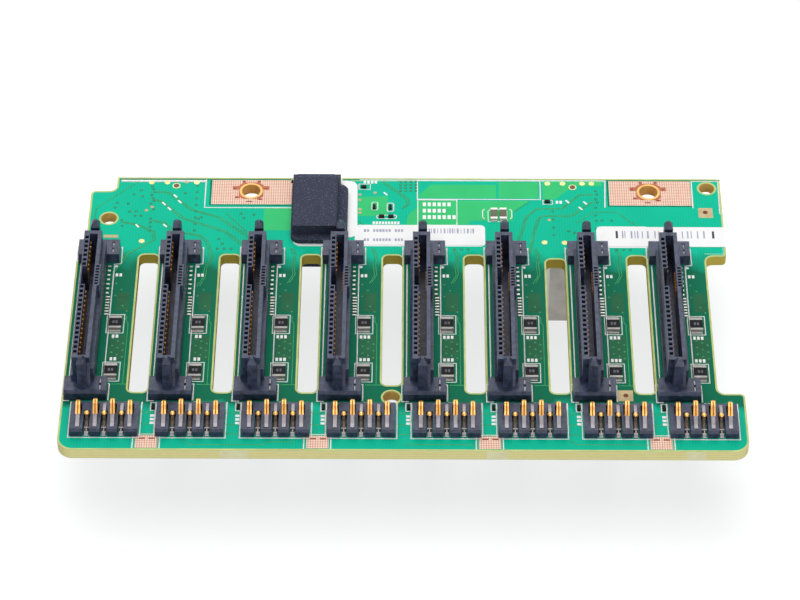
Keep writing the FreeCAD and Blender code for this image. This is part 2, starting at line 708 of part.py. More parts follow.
def make_tray_form():
    """Housing of one spring connector for the drive tray: a comb of four pedestals."""
    body = new_body("TrayForm")
    half = size("tray_width") / 2
    back = size("tray_depth") - size("tray_rear_wall")
    height = size("tray_height")
    comb = new_sketch(body, "tray_comb")
    corners = [(-half, ZERO)]
    for place in SHORT_PLACES:
        left = spring_x(place) - size("tray_channel_width") / 2
        right = spring_x(place) + size("tray_channel_width") / 2
        end = size("tray_channel_length")
        corners += [(left, ZERO), (left, end), (right, end), (right, ZERO)]
    corners += [(half, ZERO), (half, size("tray_depth")), (-half, size("tray_depth"))]
    draw_polygon(comb, corners)
    add_pad(body, comb, height)
    nose = new_sketch(body, "tray_front_bevel", plane="YZ_Plane", offset=half)
    draw_polygon(nose, [(ZERO, height - size("tray_nose")),
                        (size("tray_nose") / 2, height), (ZERO, height)])
    add_pocket(body, nose, size("tray_width"))
    wells = new_sketch(body, "tray_wells", offset=height)
    well_half = size("spring_width") / 2 + size("spring_end_gap")
    for place in range(0, TRAY_PLACES, 2):
        draw_rectangle(wells, spring_x(place) - well_half, spring_x(place) + well_half,
                       size("tray_well_start"), back)
    add_pocket(body, wells, height - size("tray_floor"))
    return body


def make_spring_form(name, profile):
    """A bent strip, given by its section across the connector."""
    body = new_body(name)
    sketch = new_sketch(body, name + "_section", plane="YZ_Plane",
                        offset=-size("spring_width") / 2)
    draw_polygon(sketch, profile)
    add_pad(body, sketch, size("spring_width"))
    return body


def long_spring_profile(height):
    """Section of a long spring: a strip from the pedestal over its crown into the well."""
    thickness = size("spring_thickness")
    seat = size("tray_height")
    root = size("long_spring_root")
    knee = size("long_spring_knee")
    knee_height = size("long_spring_knee_height")
    crown = size("long_spring_crown")
    end = size("tray_depth") - size("tray_rear_wall") - size("spring_end_gap")
    return [(root, seat), (root + thickness * 2, seat), (knee, knee_height - thickness),
            (crown, height - thickness), (end - thickness, size("tray_floor")),
            (end, size("tray_floor")), (crown + thickness, height), (crown, height),
            (knee - thickness, knee_height)]


def short_spring_profile():
    """Section of a short spring: solder foot, riser, crown and rear foot."""
    thickness = size("spring_thickness")
    height = size("short_spring_height")
    riser = size("short_spring_riser")
    crown_end = riser + size("short_spring_crown")
    end = size("tray_channel_length") - size("spring_end_gap")
    return [(-size("short_spring_foot"), ZERO), (riser, ZERO),
            (riser + thickness, height - thickness), (crown_end - thickness, height - thickness),
            (end - thickness, ZERO), (end, ZERO), (crown_end, height),
            (riser, height), (riser - thickness, thickness),
            (-size("short_spring_foot"), thickness)]


def make_spring_set_form():
    """The seven springs of one tray connector."""
    outer = make_spring_form("OuterSpring", long_spring_profile(size("long_spring_height")))
    middle = make_spring_form("MiddleSpring", long_spring_profile(
        size("long_spring_height") + size("middle_spring_lift")))
    short = make_spring_form("ShortSpring", short_spring_profile())
    forms = [outer, short, middle, short, middle, short, outer]
    return group("SpringSet", [placed_copy(form, "spring_%d" % place, spring_x(place))
                               for place, form in enumerate(forms)])


def make_tray_connectors():
    """The tray spring connectors, one for each bay."""
    form = make_tray_form()
    springs = make_spring_set_form()
    for bay in BAYS:
        middle = bay_x(bay) + size("tray_offset_x")
        keep(placed_copy(form, "tray_%d" % bay, middle, TRAY_Y),
             "tray_connector_housing_%d" % (bay + 1))
        keep(placed_copy(springs, "springs_%d" % bay, middle, TRAY_Y),
             "tray_connector_springs_%d" % (bay + 1))


# ---------------------------------------------------------------- soldered chip parts

def make_resistors():
    """Two chip resistors in every bay: ceramic bodies and their metal end caps."""
    half_width = size("resistor_width") / 2
    half_length = size("resistor_length") / 2
    inner = half_length - size("resistor_cap")
    body = new_body("ResistorForm")
    pad_block(body, "resistor_block", -half_width, half_width, -inner, inner,
              ZERO, size("resistor_height"))
    cap = new_body("ResistorCapForm")
    pad_block(cap, "resistor_cap", -half_width, half_width, inner, half_length,
              ZERO, size("resistor_height"))
    bodies, caps = [], []
    for bay in BAYS:
        x = bay_x(bay) + size("resistor_offset_x")
        for row_name in ("far_resistor_y", "near_resistor_y"):
            y = RECEPTACLE_Y - size(row_name)
            tag = "%s_%d" % (row_name, bay)
            bodies.append(placed_copy(body, "body_" + tag, x, y))
            caps.append(placed_copy(cap, "far_cap_" + tag, x, y))
            caps.append(placed_copy(cap, "near_cap_" + tag, x, y - inner - half_length))
    keep(group("ResistorBodies", bodies), "bay_resistor_bodies")
    keep(group("ResistorCaps", caps), "bay_resistor_caps")


# Chip parts of the far strip: the letter that names its place, and whether it lies along X.
STRIP_CHIPS = [("a", True), ("b", True), ("c", True), ("d", False), ("e", False),
               ("f", True)]


def make_small_chips():
    """Small chip parts on the component face."""
    length, width = size("chip_length") / 2, size("chip_width") / 2
    lying = new_body("ChipForm")
    pad_block(lying, "chip_block", -length, length, -width, width, ZERO,
              size("chip_height"))
    standing = new_body("TurnedChipForm")
    pad_block(standing, "turned_chip_block", -width, width, -length, length, ZERO,
              size("chip_height"))
    members = []
    for letter, lengthwise in STRIP_CHIPS:
        form = lying if lengthwise else standing
        members.append(placed_copy(form, "chip_" + letter,
                                   LEFT + size("strip_chip_%s_x" % letter),
                                   FAR - size("strip_chip_%s_y" % letter)))
    for bay in BAYS[1:]:
        tray_left = bay_x(bay) + size("tray_offset_x") - size("tray_width") / 2
        members.append(placed_copy(standing, "tray_chip_%d" % bay,
                                   tray_left - size("tray_chip_gap") - width,
                                   TRAY_Y + size("tray_chip_y")))
    keep(group("ChipGroup", members), "small_chip_parts")
    large = new_body("LargeChipForm")
    half_x, half_y = size("pair_chip_width") / 2, size("pair_chip_length") / 2
    pad_block(large, "large_chip_block", -half_x, half_x, -half_y, half_y, ZERO,
              size("pair_chip_height"))
    keep(group("ChipPair", [
        placed_copy(large, "large_chip_%s" % side,
                    LEFT + size("pair_x") + size("pair_chip_pitch") * place,
                    FAR - size("pair_y"))
        for side, place in (("left", -0.5), ("right", 0.5))]), "large_chip_pair")


# ---------------------------------------------------------------- labels

def make_label(name, left, far):
    """A plain paper label stuck to the component face."""
    body = new_body(name + "_body")
    pad_block(body, name + "_sheet", left, left + size("label_width"),
              far - size("label_depth"), far, ZERO, size("label_thickness"))
    keep(body, name)


# ---------------------------------------------------------------- grip

def make_grip():
    """Moulded grip: a plate and block on top, a web through the edge notch, a keeper below."""
    body = new_body("GripBody")
    left = LEFT + size("grip_x")
    right = left + size("grip_foot_width")
    near = FAR - size("grip_foot_near_y")
    far = near + size("grip_foot_depth")
    foot = pad_block(body, "grip_foot", left, right, near, far, ZERO,
                     size("grip_foot_thickness"))
    corners = [(left, near), (right, near), (right, far)]
    round_corners(body, foot, corners, size("grip_corner_radius"), "grip_rounds")
    block_left = left + size("grip_block_inset")
    block_right = block_left + size("grip_block_width")
    block_near = FAR - size("grip_block_near_y")
    block_far = FAR - size("grip_block_far_y")
    top = size("grip_block_height")
    section = new_sketch(body, "grip_block", plane="YZ_Plane", offset=block_left)
    draw_polygon(section, [
        (block_near, ZERO), (block_far, ZERO), (block_far, top - size("grip_bevel")),
        (block_far - size("grip_lead_length"), top), (block_near, top)])
    add_pad(body, section, size("grip_block_width"))
    bevel = size("grip_side_bevel")
    sides = new_sketch(body, "grip_side_bevels", plane="XZ_Plane", offset=-FAR)
    draw_polygon(sides, [
        (block_right - bevel, top), (block_right, top - bevel), (block_right, top)])
    draw_polygon(sides, [
        (block_left, top - bevel), (block_left + bevel, top), (block_left, top)])
    add_pocket(body, sides, FAR - NEAR, forwards=True)
    chamfer = size("grip_block_chamfer")
    ends = new_sketch(body, "grip_block_chamfers", offset=top)
    draw_polygon(ends, [
        (block_left, block_far - chamfer), (block_left + chamfer, block_far),
        (block_left, block_far)])
    draw_polygon(ends, [
        (block_right, block_far - chamfer), (block_right, block_far),
        (block_right - chamfer, block_far)])
    add_pocket(body, ends, top - size("grip_foot_thickness"))
    web_left = left + size("grip_web_clearance")
    web_right = left + size("grip_notch_width") - size("grip_web_clearance")
    web_near = FAR - size("grip_notch_depth") + size("grip_web_clearance")
    keeper_bottom = UNDERSIDE - size("grip_keeper_thickness")
    pad_block(body, "grip_web", web_left, web_right, web_near, FAR, keeper_bottom,
              size("grip_foot_thickness"))
    pad_block(body, "grip_bridge", web_left, web_right, far, web_near, ZERO,
              size("grip_foot_thickness"))
    pad_block(body, "grip_keeper", web_left, web_right, FAR - size("grip_keeper_near_y"),
              FAR, keeper_bottom, UNDERSIDE)
    keep(body, "edge_grip")


# ---------------------------------------------------------------- rear connectors

def make_signal_connector():
    """Folded cage with two stacked ports under the board, open to the far edge."""
    cage = new_body("CageBody")
    wall = size("cage_wall")
    left = LEFT + size("cage_x")
    right = left + size("cage_width")
    near = FAR - size("cage_near_y")
    far = near + size("cage_length")
    bottom = UNDERSIDE - size("cage_height")
    pad_block(cage, "cage_shell", left, right, near, far, bottom, UNDERSIDE)
    middle = bottom + size("cage_height") / 2
    levels = [(bottom + wall, middle - wall / 2), (middle + wall / 2, UNDERSIDE - wall)]
    for index, (low, high) in enumerate(levels):
        sketch = new_sketch(cage, "cage_port_%d" % index, plane="XZ_Plane", offset=-far)
        draw_rectangle(sketch, left + wall, right - wall, low, high)
        add_pocket(cage, sketch, size("cage_length") - wall, forwards=True)
    keep(cage, "signal_connector_cage")

    gap = size("insert_clearance")
    margin = size("insert_tongue_margin")
    for index, (low, high) in enumerate(levels):
        insert = new_body("InsertBody%d" % index)
        block_near = near + wall + gap
        block_far = block_near + size("insert_block_length")
        pad_block(insert, "insert_block_%d" % index, left + wall + gap, right - wall - gap,
                  block_near, block_far, low, high - gap)
        level = (low + high) / 2
        half = size("insert_tongue_thickness") / 2
        pad_block(insert, "insert_tongue_%d" % index, left + wall + margin,
                  right - wall - margin, block_far,
                  block_far + size("insert_tongue_length"), level - half, level + half)
        keep(insert, "signal_port_insert_%s" % ("lower", "upper")[index])


def make_power_connector():
    """Power header under the board: a housing with square cells and a latch ramp."""
    housing = new_body("PowerBody")
    left = LEFT + size("power_x")
    right = left + size("power_width")
    near = FAR - size("power_near_y")
    far = near + size("power_length")
    bottom = UNDERSIDE - size("power_height")
    pad_block(housing, "power_shell", left, right, near, far, bottom, UNDERSIDE)
    middle_x = left + size("power_width") / 2
    middle_y = near + size("power_length") / 2
    latch = new_sketch(housing, "power_latch", plane="XZ_Plane",
                       offset=-(middle_y + size("power_latch_width") / 2))
    draw_polygon(latch, [
        (right, bottom + size("power_latch_depth")),
        (right + size("power_latch_depth"), bottom + size("power_latch_width")),
        (right, bottom + size("power_latch_width"))])
    add_pad(housing, latch, size("power_latch_width"))
    cells = new_sketch(housing, "power_cells", offset=bottom)
    half = size("power_cell_size") / 2
    places = []
    for across in range(count("power_cell_rows")):
        x = middle_x + size("power_cell_pitch") * (across - (count("power_cell_rows") - 1) / 2)
        for along in range(count("power_cell_columns")):
            y = middle_y + size("power_cell_pitch") \
                * (along - (count("power_cell_columns") - 1) / 2)
            draw_rectangle(cells, x - half, x + half, y - half, y + half)
            places.append((x, y))
    add_pocket(housing, cells, size("power_cell_depth"), forwards=True)
    keep(housing, "power_connector_housing")

    pin = new_body("PowerPinForm")
    pin_half = size("power_pin_size") / 2
    pad_block(pin, "power_pin", -pin_half, pin_half, -pin_half, pin_half,
              ZERO, size("power_pin_length"))
    floor = bottom + size("power_cell_depth") - size("power_pin_length")
    keep(group("PinGroup", [placed_copy(pin, "pin_%d" % index, x, y, floor)
                            for index, (x, y) in enumerate(places)]),
         "power_connector_pins")


def make_controller():
    """Leadless bay controller chip under the board."""
    body = new_body("ControllerBody")
    x, y = LEFT + size("controller_x"), FAR - size("controller_y")
    half = size("controller_size") / 2
    pad_block(body, "controller_block", x - half, x + half, y - half, y + half,
              UNDERSIDE - size("controller_height"), UNDERSIDE)
    keep(body, "bay_controller_chip")


# ---------------------------------------------------------------- build, check and write

make_board()
make_receptacles()
make_board_locks()
make_tray_connectors()
make_resistors()
make_small_chips()
make_label("left_label", LEFT + size("left_label_x"), FAR - size("left_label_y"))
make_label("right_label", LEFT + size("right_label_x"), FAR - size("right_label_y"))
make_grip()
make_signal_connector()
make_power_connector()
make_controller()
doc.recompute()

for item in doc.Objects:
    if "Invalid" in item.State or "Error" in item.State:
        raise RuntimeError("%s did not build: %s" % (item.Label, item.State))
for node in NODES:
    if node.Shape.isNull() or not node.Shape.isValid() or not node.Shape.Solids:
        raise RuntimeError("%s has no sound shape" % node.Label)

os.makedirs(PARTS_FOLDER, exist_ok=True)
for node in NODES:
    node.Shape.exportStep(os.path.join(PARTS_FOLDER, node.Label + ".step"))
print("%d sub-parts, %d solids" % (len(NODES), sum(len(n.Shape.Solids) for n in NODES)))
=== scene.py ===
"""Looks of the drive backplane board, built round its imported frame.

The board's own nodes stay where they are and are given their finishes. New pieces add what
is printed, plated, soldered or stuck on the board. Drawn places are millimetres from the
middle of the board, X to the right and Y towards the screwed edge; heights are millimetres
above its component face.
"""
import json
import logging
import math
from dataclasses import dataclass
from enum import Enum
from functools import cached_property
from typing import Iterable, Sequence

import bpy
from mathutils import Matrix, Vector


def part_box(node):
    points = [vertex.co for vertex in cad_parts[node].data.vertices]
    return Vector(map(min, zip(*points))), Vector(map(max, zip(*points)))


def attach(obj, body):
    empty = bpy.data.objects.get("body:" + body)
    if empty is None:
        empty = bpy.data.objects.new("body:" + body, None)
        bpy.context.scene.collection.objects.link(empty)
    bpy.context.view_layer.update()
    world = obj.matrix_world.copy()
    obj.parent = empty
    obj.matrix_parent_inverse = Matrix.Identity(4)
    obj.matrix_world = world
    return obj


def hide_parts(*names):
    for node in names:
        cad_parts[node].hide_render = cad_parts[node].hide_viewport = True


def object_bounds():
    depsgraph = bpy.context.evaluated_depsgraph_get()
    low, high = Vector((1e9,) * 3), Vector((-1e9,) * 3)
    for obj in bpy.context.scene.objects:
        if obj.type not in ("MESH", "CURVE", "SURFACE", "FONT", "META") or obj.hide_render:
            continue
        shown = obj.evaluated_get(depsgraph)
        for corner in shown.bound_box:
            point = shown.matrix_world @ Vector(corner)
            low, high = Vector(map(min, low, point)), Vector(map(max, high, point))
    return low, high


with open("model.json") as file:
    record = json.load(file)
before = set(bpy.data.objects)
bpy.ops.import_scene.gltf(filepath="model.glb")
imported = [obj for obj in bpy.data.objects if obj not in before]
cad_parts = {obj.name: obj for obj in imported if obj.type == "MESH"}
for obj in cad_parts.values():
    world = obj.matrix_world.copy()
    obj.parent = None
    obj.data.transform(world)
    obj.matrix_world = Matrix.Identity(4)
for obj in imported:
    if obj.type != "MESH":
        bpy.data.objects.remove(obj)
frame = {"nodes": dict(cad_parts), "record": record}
CAD_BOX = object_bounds()

MM = 0.001
LOG = logging.getLogger("backplane")
SRGB_KNEE, SRGB_SLOPE, SRGB_SHIFT, SRGB_POWER = 0.04045, 12.92, 0.055, 2.4

Spot = tuple[float, float]
Path = Sequence[Spot]
Paths = Iterable[Path]
Colour = tuple[int, int, int]
Piece = bpy.types.Object
Socket = bpy.types.NodeSocket


def linear(colour: Colour, strength: float = 1.0) -> tuple[float, float, float, float]:
    """Turns a 0 to 255 display colour into the shader's own scale.

    Args:
        colour: Red, green and blue as a screen shows them.
        strength: Factor on the result, for a darker or lighter tone.

    Returns:
        Four numbers for a colour socket.
    """
    parts = [part / 255 for part in colour]
    scaled = [part / SRGB_SLOPE if part <= SRGB_KNEE
              else ((part + SRGB_SHIFT) / (1 + SRGB_SHIFT)) ** SRGB_POWER for part in parts]
    return (*[min(part * strength, 1.0) for part in scaled], 1.0)


def corners_of(node: str) -> tuple[Vector, Vector]:
    """Lowest and highest corner of a node's box, in millimetres."""
    low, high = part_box(node)
    return Vector(low) / MM, Vector(high) / MM


def middle_of(node: str) -> Vector:
    """Middle of a node's box, in millimetres."""
    low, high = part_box(node)
    return (Vector(low) + Vector(high)) / 2 / MM


BOARD_LOW, BOARD_HIGH = corners_of("circuit_board")
MIDDLE = (BOARD_LOW + BOARD_HIGH) / 2
NEAR, FAR = BOARD_LOW.y - MIDDLE.y, BOARD_HIGH.y - MIDDLE.y
BAYS = tuple(range(1, 9))
HOUSING = "drive_connector_housing_%d"
TRAY_HOUSING = "tray_connector_housing_%d"
PLANE_INSET = 0.43  # from a housing's middle to the mating plane in its slot
PATCH_MIDDLES = (-48.4, -16.1, 16.4, 48.7)
SKIN = 0.02  # thickness of a skin of mask


def bay_left(bay: int) -> float:
    """Mating plane of a bay's receptacle, from the board's middle."""
    return middle_of(HOUSING % bay).x - MIDDLE.x - PLANE_INSET


def screw_holes() -> list[Spot]:
    """Middles of both screw holes, from the record's bolt pattern.

    Returns:
        The left hole's middle, then the right one's, from the board's middle.
    """
    for mount in frame["record"]["mounts"]:
        if mount["kind"] == "bolt_pattern":
            half = float(mount["dims"]["spacing_x_mm"]) / 2
            return [(-half - MIDDLE.x, -MIDDLE.y), (half - MIDDLE.x, -MIDDLE.y)]
    raise ValueError("the record has no bolt pattern")


def on_board(spots: Path) -> list[tuple[float, float, float]]:
    """Offsets from the origin for spots drawn from the board's middle."""
    return [(x + MIDDLE.x, y + MIDDLE.y, 0.0) for x, y in spots]


# ---------------------------------------------------------------- modelling moves


class Bench:
    """Modelling moves shared by every sub-assembly. All their sizes are millimetres."""

    EDGE_FACES = 2

    @staticmethod
    def clear() -> None:
        """Leaves edit mode and deselects every object."""
        if bpy.context.object and bpy.context.object.mode != "OBJECT":
            bpy.ops.object.mode_set(mode="OBJECT")
        bpy.ops.object.select_all(action="DESELECT")

    @staticmethod
    def pick(piece: Piece) -> Piece:
        """Makes a piece the only selected and active one.

        Args:
            piece: The piece to pick.

        Returns:
            The same piece.
        """
        Bench.clear()
        piece.select_set(True)
        bpy.context.view_layer.objects.active = piece
        return piece

    @staticmethod
    def settle(piece: Piece) -> Piece:
        """Puts a piece's place, turn and scale into its mesh.

        Args:
            piece: The piece to settle.

        Returns:
            The same piece.
        """
        Bench.pick(piece)
        bpy.ops.object.transform_apply(location=True, rotation=True, scale=True)
        return piece

    @staticmethod
    def block(name: str, low: Sequence[float], high: Sequence[float],
              bevel: float = 0.0) -> Piece:
        """Models a block between two corners.

        Args:
            name: Name of the piece.
            low: Lowest corner.
            high: Highest corner.
            bevel: Width of its rounded edges, or 0 for none.

        Returns:
            The piece, at the origin with its place in its mesh.
        """
        Bench.clear()
        middle = [(a + b) / 2 * MM for a, b in zip(low, high)]
        bpy.ops.mesh.primitive_cube_add(size=1, location=middle)
        piece = bpy.context.object
        piece.name = name
        piece.scale = [abs(b - a) * MM for a, b in zip(low, high)]
        Bench.settle(piece)
        if bevel:
            Bench.modify(piece, "BEVEL", width=bevel * MM, segments=Bench.EDGE_FACES,
                         limit_method="NONE")
        return piece

    @staticmethod
    def discs(name: str, spots: Path, radius: float, height: float, sides: int) -> Piece:
        """Stands a low round pad on the component face at every spot.

        Args:
            name: Name of the piece.
            spots: Middles of the pads, from the board's middle.
            radius: Radius of each pad.
            height: How far they stand out of the board.
            sides: Corners of each pad's round.

        Returns:
            One mesh with all the pads.
        """
        Bench.clear()
        bpy.ops.mesh.primitive_cylinder_add(
            vertices=sides, radius=radius * MM, depth=height * MM,
            location=(0, 0, height / 2 * MM))
        return Bench.stamp(name, Bench.settle(bpy.context.object), on_board(spots))

    @staticmethod
    def modify(piece: Piece, kind: str, **settings: object) -> Piece:
        """Adds a modifier with its settings and applies it.

        Args:
            piece: The piece to change.
            kind: Blender's name for the modifier's type.
            settings: The modifier's properties.

        Returns:
            The same piece.
        """
        Bench.pick(piece)
        modifier = piece.modifiers.new(kind.title(), kind)
        for name, value in settings.items():
            setattr(modifier, name, value)
        bpy.ops.object.modifier_apply(modifier=modifier.name)
        return piece

    @staticmethod
    def drawn(name: str, paths: Paths, closed: bool, flat: bool) -> Piece:
        """Draws paths on the board as one curve object, measured from the board's middle.

        Args:
            name: Name of the piece.
            paths: Points of each path.
            closed: Whether each path runs back to its start.
            flat: Whether the curve can be filled.

        Returns:
            The curve object.
        """
        Bench.clear()
        bpy.ops.curve.primitive_nurbs_path_add()
        piece = bpy.context.object
        piece.name = name
        line = piece.data
        line.splines.clear()
        line.dimensions = "2D" if flat else "3D"
        for path in paths:
            spline = line.splines.new("POLY")
            spline.points.add(len(path) - 1)
            for knot, (x, y) in zip(spline.points, path):
                knot.co = ((x + MIDDLE.x) * MM, (y + MIDDLE.y) * MM, 0, 1)
            spline.use_cyclic_u = closed
        return piece

    @staticmethod
    def strokes(name: str, paths: Paths, width: float, height: float,
                closed: bool = False) -> Piece:
        """Lays low ridges along paths on the component face.

        Args:
            name: Name of the piece.
            paths: Points of each line, from the board's middle.
            width: Width of the lines.
            height: How far they stand out of the board.
            closed: Whether each line runs back to its start.

        Returns:
            One mesh with all the lines.
        """
        piece = Bench.drawn(name, paths, closed, flat=False)
        piece.data.twist_mode = "Z_UP"
        piece.data.bevel_depth = width / 2 * MM
        piece.data.bevel_resolution = 0
        piece.data.use_fill_caps = not closed
        bpy.ops.object.convert(target="MESH")
        piece.scale = (1, 1, 2 * height / width)
        return Bench.settle(piece)

    @staticmethod
    def plate(name: str, outlines: Paths, height: float, level: float = 0.0) -> Piece:
        """Cuts a flat plate; an outline inside another one is a hole.

        Args:
            name: Name of the piece.
            outlines: Closed outlines, from the board's middle.
            height: Thickness of the plate.
            level: Height of its underside.

        Returns:
            One mesh with all the plates.
        """
        piece = Bench.drawn(name, outlines, closed=True, flat=True)
        piece.data.fill_mode = "BOTH"
        piece.data.extrude = height / 2 * MM
        bpy.ops.object.convert(target="MESH")
        piece.location.z = (level + height / 2) * MM
        return Bench.settle(piece)

    @staticmethod
    def stamp(name: str, pattern: Piece,
              offsets: Iterable[Sequence[float]]) -> Piece:
        """Copies a pattern to each offset and joins the copies into one piece.

        Args:
            name: Name of the piece.
            pattern: What is copied; it is removed afterwards.
            offsets: Move of each copy.

        Returns:
            The joined copies.
        """
        copies = []
        for offset in offsets:
            copy = pattern.copy()
            copy.data = pattern.data.copy()
            bpy.context.collection.objects.link(copy)
            copy.location = [part * MM for part in offset]
            copies.append(copy)
        bpy.data.objects.remove(pattern)
        return Bench.settle(Bench.joined(name, copies))

    @staticmethod
    def joined(name: str, pieces: Sequence[Piece]) -> Piece:
        """Joins pieces into the first of them.

        Args:
            name: Name of the result.
            pieces: What is joined, one piece or more.

        Returns:
            The first piece, with the others in it.
        """
        Bench.pick(pieces[0])
        for piece in pieces:
            piece.select_set(True)
        if len(pieces) > 1:
            bpy.ops.object.join()
        pieces[0].name = name
        return pieces[0]


def ring_of(x: float, y: float, radius: float, sides: int = 40) -> list[Spot]:
    """Points of a circle."""
    return [(x + radius * math.cos(turn), y + radius * math.sin(turn))
            for turn in (math.tau * side / sides for side in range(sides))]


def box_of(x0: float, y0: float, x1: float, y1: float, round_by: float = 0.0,
           steps: int = 4) -> list[Spot]:
    """Points of a rectangle, with rounded corners where a radius is given.

    Args:
        x0: Left side.
        y0: Near side.
        x1: Right side.
        y1: Far side.
        round_by: Radius of the corners, or 0 for square ones.
        steps: Segments of each rounded corner.

    Returns:
        The outline's points, in order.
    """
    if not round_by:
        return [(x0, y0), (x1, y0), (x1, y1), (x0, y1)]
    points: list[Spot] = []
    for x, y, start in ((x1 - round_by, y0 + round_by, -90), (x1 - round_by, y1 - round_by, 0),
                        (x0 + round_by, y1 - round_by, 90), (x0 + round_by, y0 + round_by, 180)):
        for step in range(steps + 1):
            turn = math.radians(start + 90 * step / steps)
            points.append((x + round_by * math.cos(turn), y + round_by * math.sin(turn)))
    return points


# ---------------------------------------------------------------- finishes


class Graph:
    """Builds one material's nodes round its Principled shader."""

    def __init__(self, name: str) -> None:
        """Starts a material with the object's own coordinates at hand.

        Args:
            name: Name of the material.
        """
        self.material = bpy.data.materials.new(name)
        self.material.use_nodes = True
        self.nodes = self.material.node_tree.nodes
        self.links = self.material.node_tree.links
        self.shader = self.nodes["Principled BSDF"]
        self.coordinates = self.add("ShaderNodeTexCoord").outputs["Object"]

    def add(self, kind: str, **settings: object) -> bpy.types.Node:
        """Adds a node and sets its properties.

        Args:
            kind: Blender's name for the node's type.
            settings: The node's properties.

        Returns:
            The node.
        """
        node = self.nodes.new(kind)
        for name, value in settings.items():
            setattr(node, name, value)
        return node

    def feed(self, node: bpy.types.Node, socket: object, value: object) -> None:
        """Links an output to a socket, or sets the socket's own value.

        Args:
            node: The node that is fed.
            socket: Name or number of its input.
            value: An output socket or a constant.
        """
        if isinstance(value, Socket):
            self.links.new(value, node.inputs[socket])
        else:
            node.inputs[socket].default_value = value

    def maths(self, operation: str, first: object, second: object = 0.0) -> Socket:
        """Works out one number from two.

        Args:
            operation: Blender's name for the operation.
            first: First number or socket.
            second: Second number or socket.

        Returns:
            The result's socket.
        """
        node = self.add("ShaderNodeMath", operation=operation)
        self.feed(node, 0, first)
        self.feed(node, 1, second)
        return node.outputs[0]

    def noise(self, grain_mm: float, detail: float = 3.0) -> Socket:
        """A cloudy pattern whose patches are about that size.

        Args:
            grain_mm: Size of the patches.
            detail: How much finer pattern lies over them.

        Returns:
            The pattern's socket, mostly between 0.3 and 0.7.
        """
        node = self.add("ShaderNodeTexNoise")
        self.feed(node, "Vector", self.coordinates)
        self.feed(node, "Scale", 1 / (grain_mm * MM))
        self.feed(node, "Detail", detail)
        return node.outputs["Fac"]

    def spread(self, value: Socket, low: float, high: float,
               start: float = 0.3, end: float = 0.7) -> Socket:
        """Stretches a pattern's middle range over low to high.

        Args:
            value: The pattern.
            low: What its start becomes.
            high: What its end becomes.
            start: Start of the range that is stretched.
            end: End of that range.

        Returns:
            The stretched pattern's socket.
        """
        node = self.add("ShaderNodeMapRange")
        for socket, part in zip(("Value", "From Min", "From Max", "To Min", "To Max"),
                                (value, start, end, low, high)):
            self.feed(node, socket, part)
        return node.outputs["Result"]

    def blend(self, share: object, first: object, second: object) -> Socket:
        """Mixes two colours.

        Args:
            share: Share of the second colour.
            first: First colour or socket.
            second: Second colour or socket.

        Returns:
            The mixture's socket.
        """
        node = self.add("ShaderNodeMix", data_type="RGBA")
        self.feed(node, 0, share)
        self.feed(node, 6, first)
        self.feed(node, 7, second)
        return node.outputs[2]

    def relief(self, height: Socket, depth_mm: float,
               edge_mm: float = 0.0) -> None:
        """Gives the surface a relief, over rounded edges where a radius is given.

        Args:
            height: The relief's pattern.
            depth_mm: How deep it goes.
            edge_mm: Radius of the edges, or 0 for sharp ones.
        """
        bump = self.add("ShaderNodeBump")
        self.feed(bump, "Strength", 1.0)
        self.feed(bump, "Distance", depth_mm * MM)
        self.feed(bump, "Height", height)
        if edge_mm:
            edge = self.add("ShaderNodeBevel", samples=4)
            self.feed(edge, "Radius", edge_mm * MM)
            self.feed(bump, "Normal", edge.outputs[0])
        self.feed(self.shader, "Normal", bump.outputs[0])


@dataclass(frozen=True)
class Finish:
    """A finish with one main colour, cloudy variation, and a fine relief."""

    name: str
    colour: Colour
    roughness: float
    metallic: float = 0.0
    swing: float = 0.15
    grain_mm: float = 0.6
    relief_mm: float = 0.004
    edge_mm: float = 0.0
    specular: float = 0.15
    cloud_size: float = 4.0
    gloss_swing: float = 0.15

    def material(self) -> bpy.types.Material:
        """Makes the material once and hands it out after that."""
        return bpy.data.materials.get(self.name) or self.build()

    def build(self) -> bpy.types.Material:
        """Builds the nodes: clouded colour and gloss over a fine relief.

        Returns:
            The new material.
        """
        graph = Graph(self.name)
        cloud = graph.noise(self.grain_mm * self.cloud_size)
        graph.feed(graph.shader, "Base Color", graph.blend(
            graph.spread(cloud, 0.0, 1.0), linear(self.colour, 1 - self.swing),
            linear(self.colour, 1 + self.swing)))
        graph.feed(graph.shader, "Roughness", graph.spread(
            graph.noise(self.grain_mm), self.roughness * (1 - self.gloss_swing),
            self.roughness * (1 + self.gloss_swing)))
        graph.shader.inputs["Metallic"].default_value = self.metallic
        graph.shader.inputs["Specular IOR Level"].default_value = self.specular
        graph.relief(graph.noise(self.grain_mm, 5.0), self.relief_mm, self.edge_mm)
        return graph.material


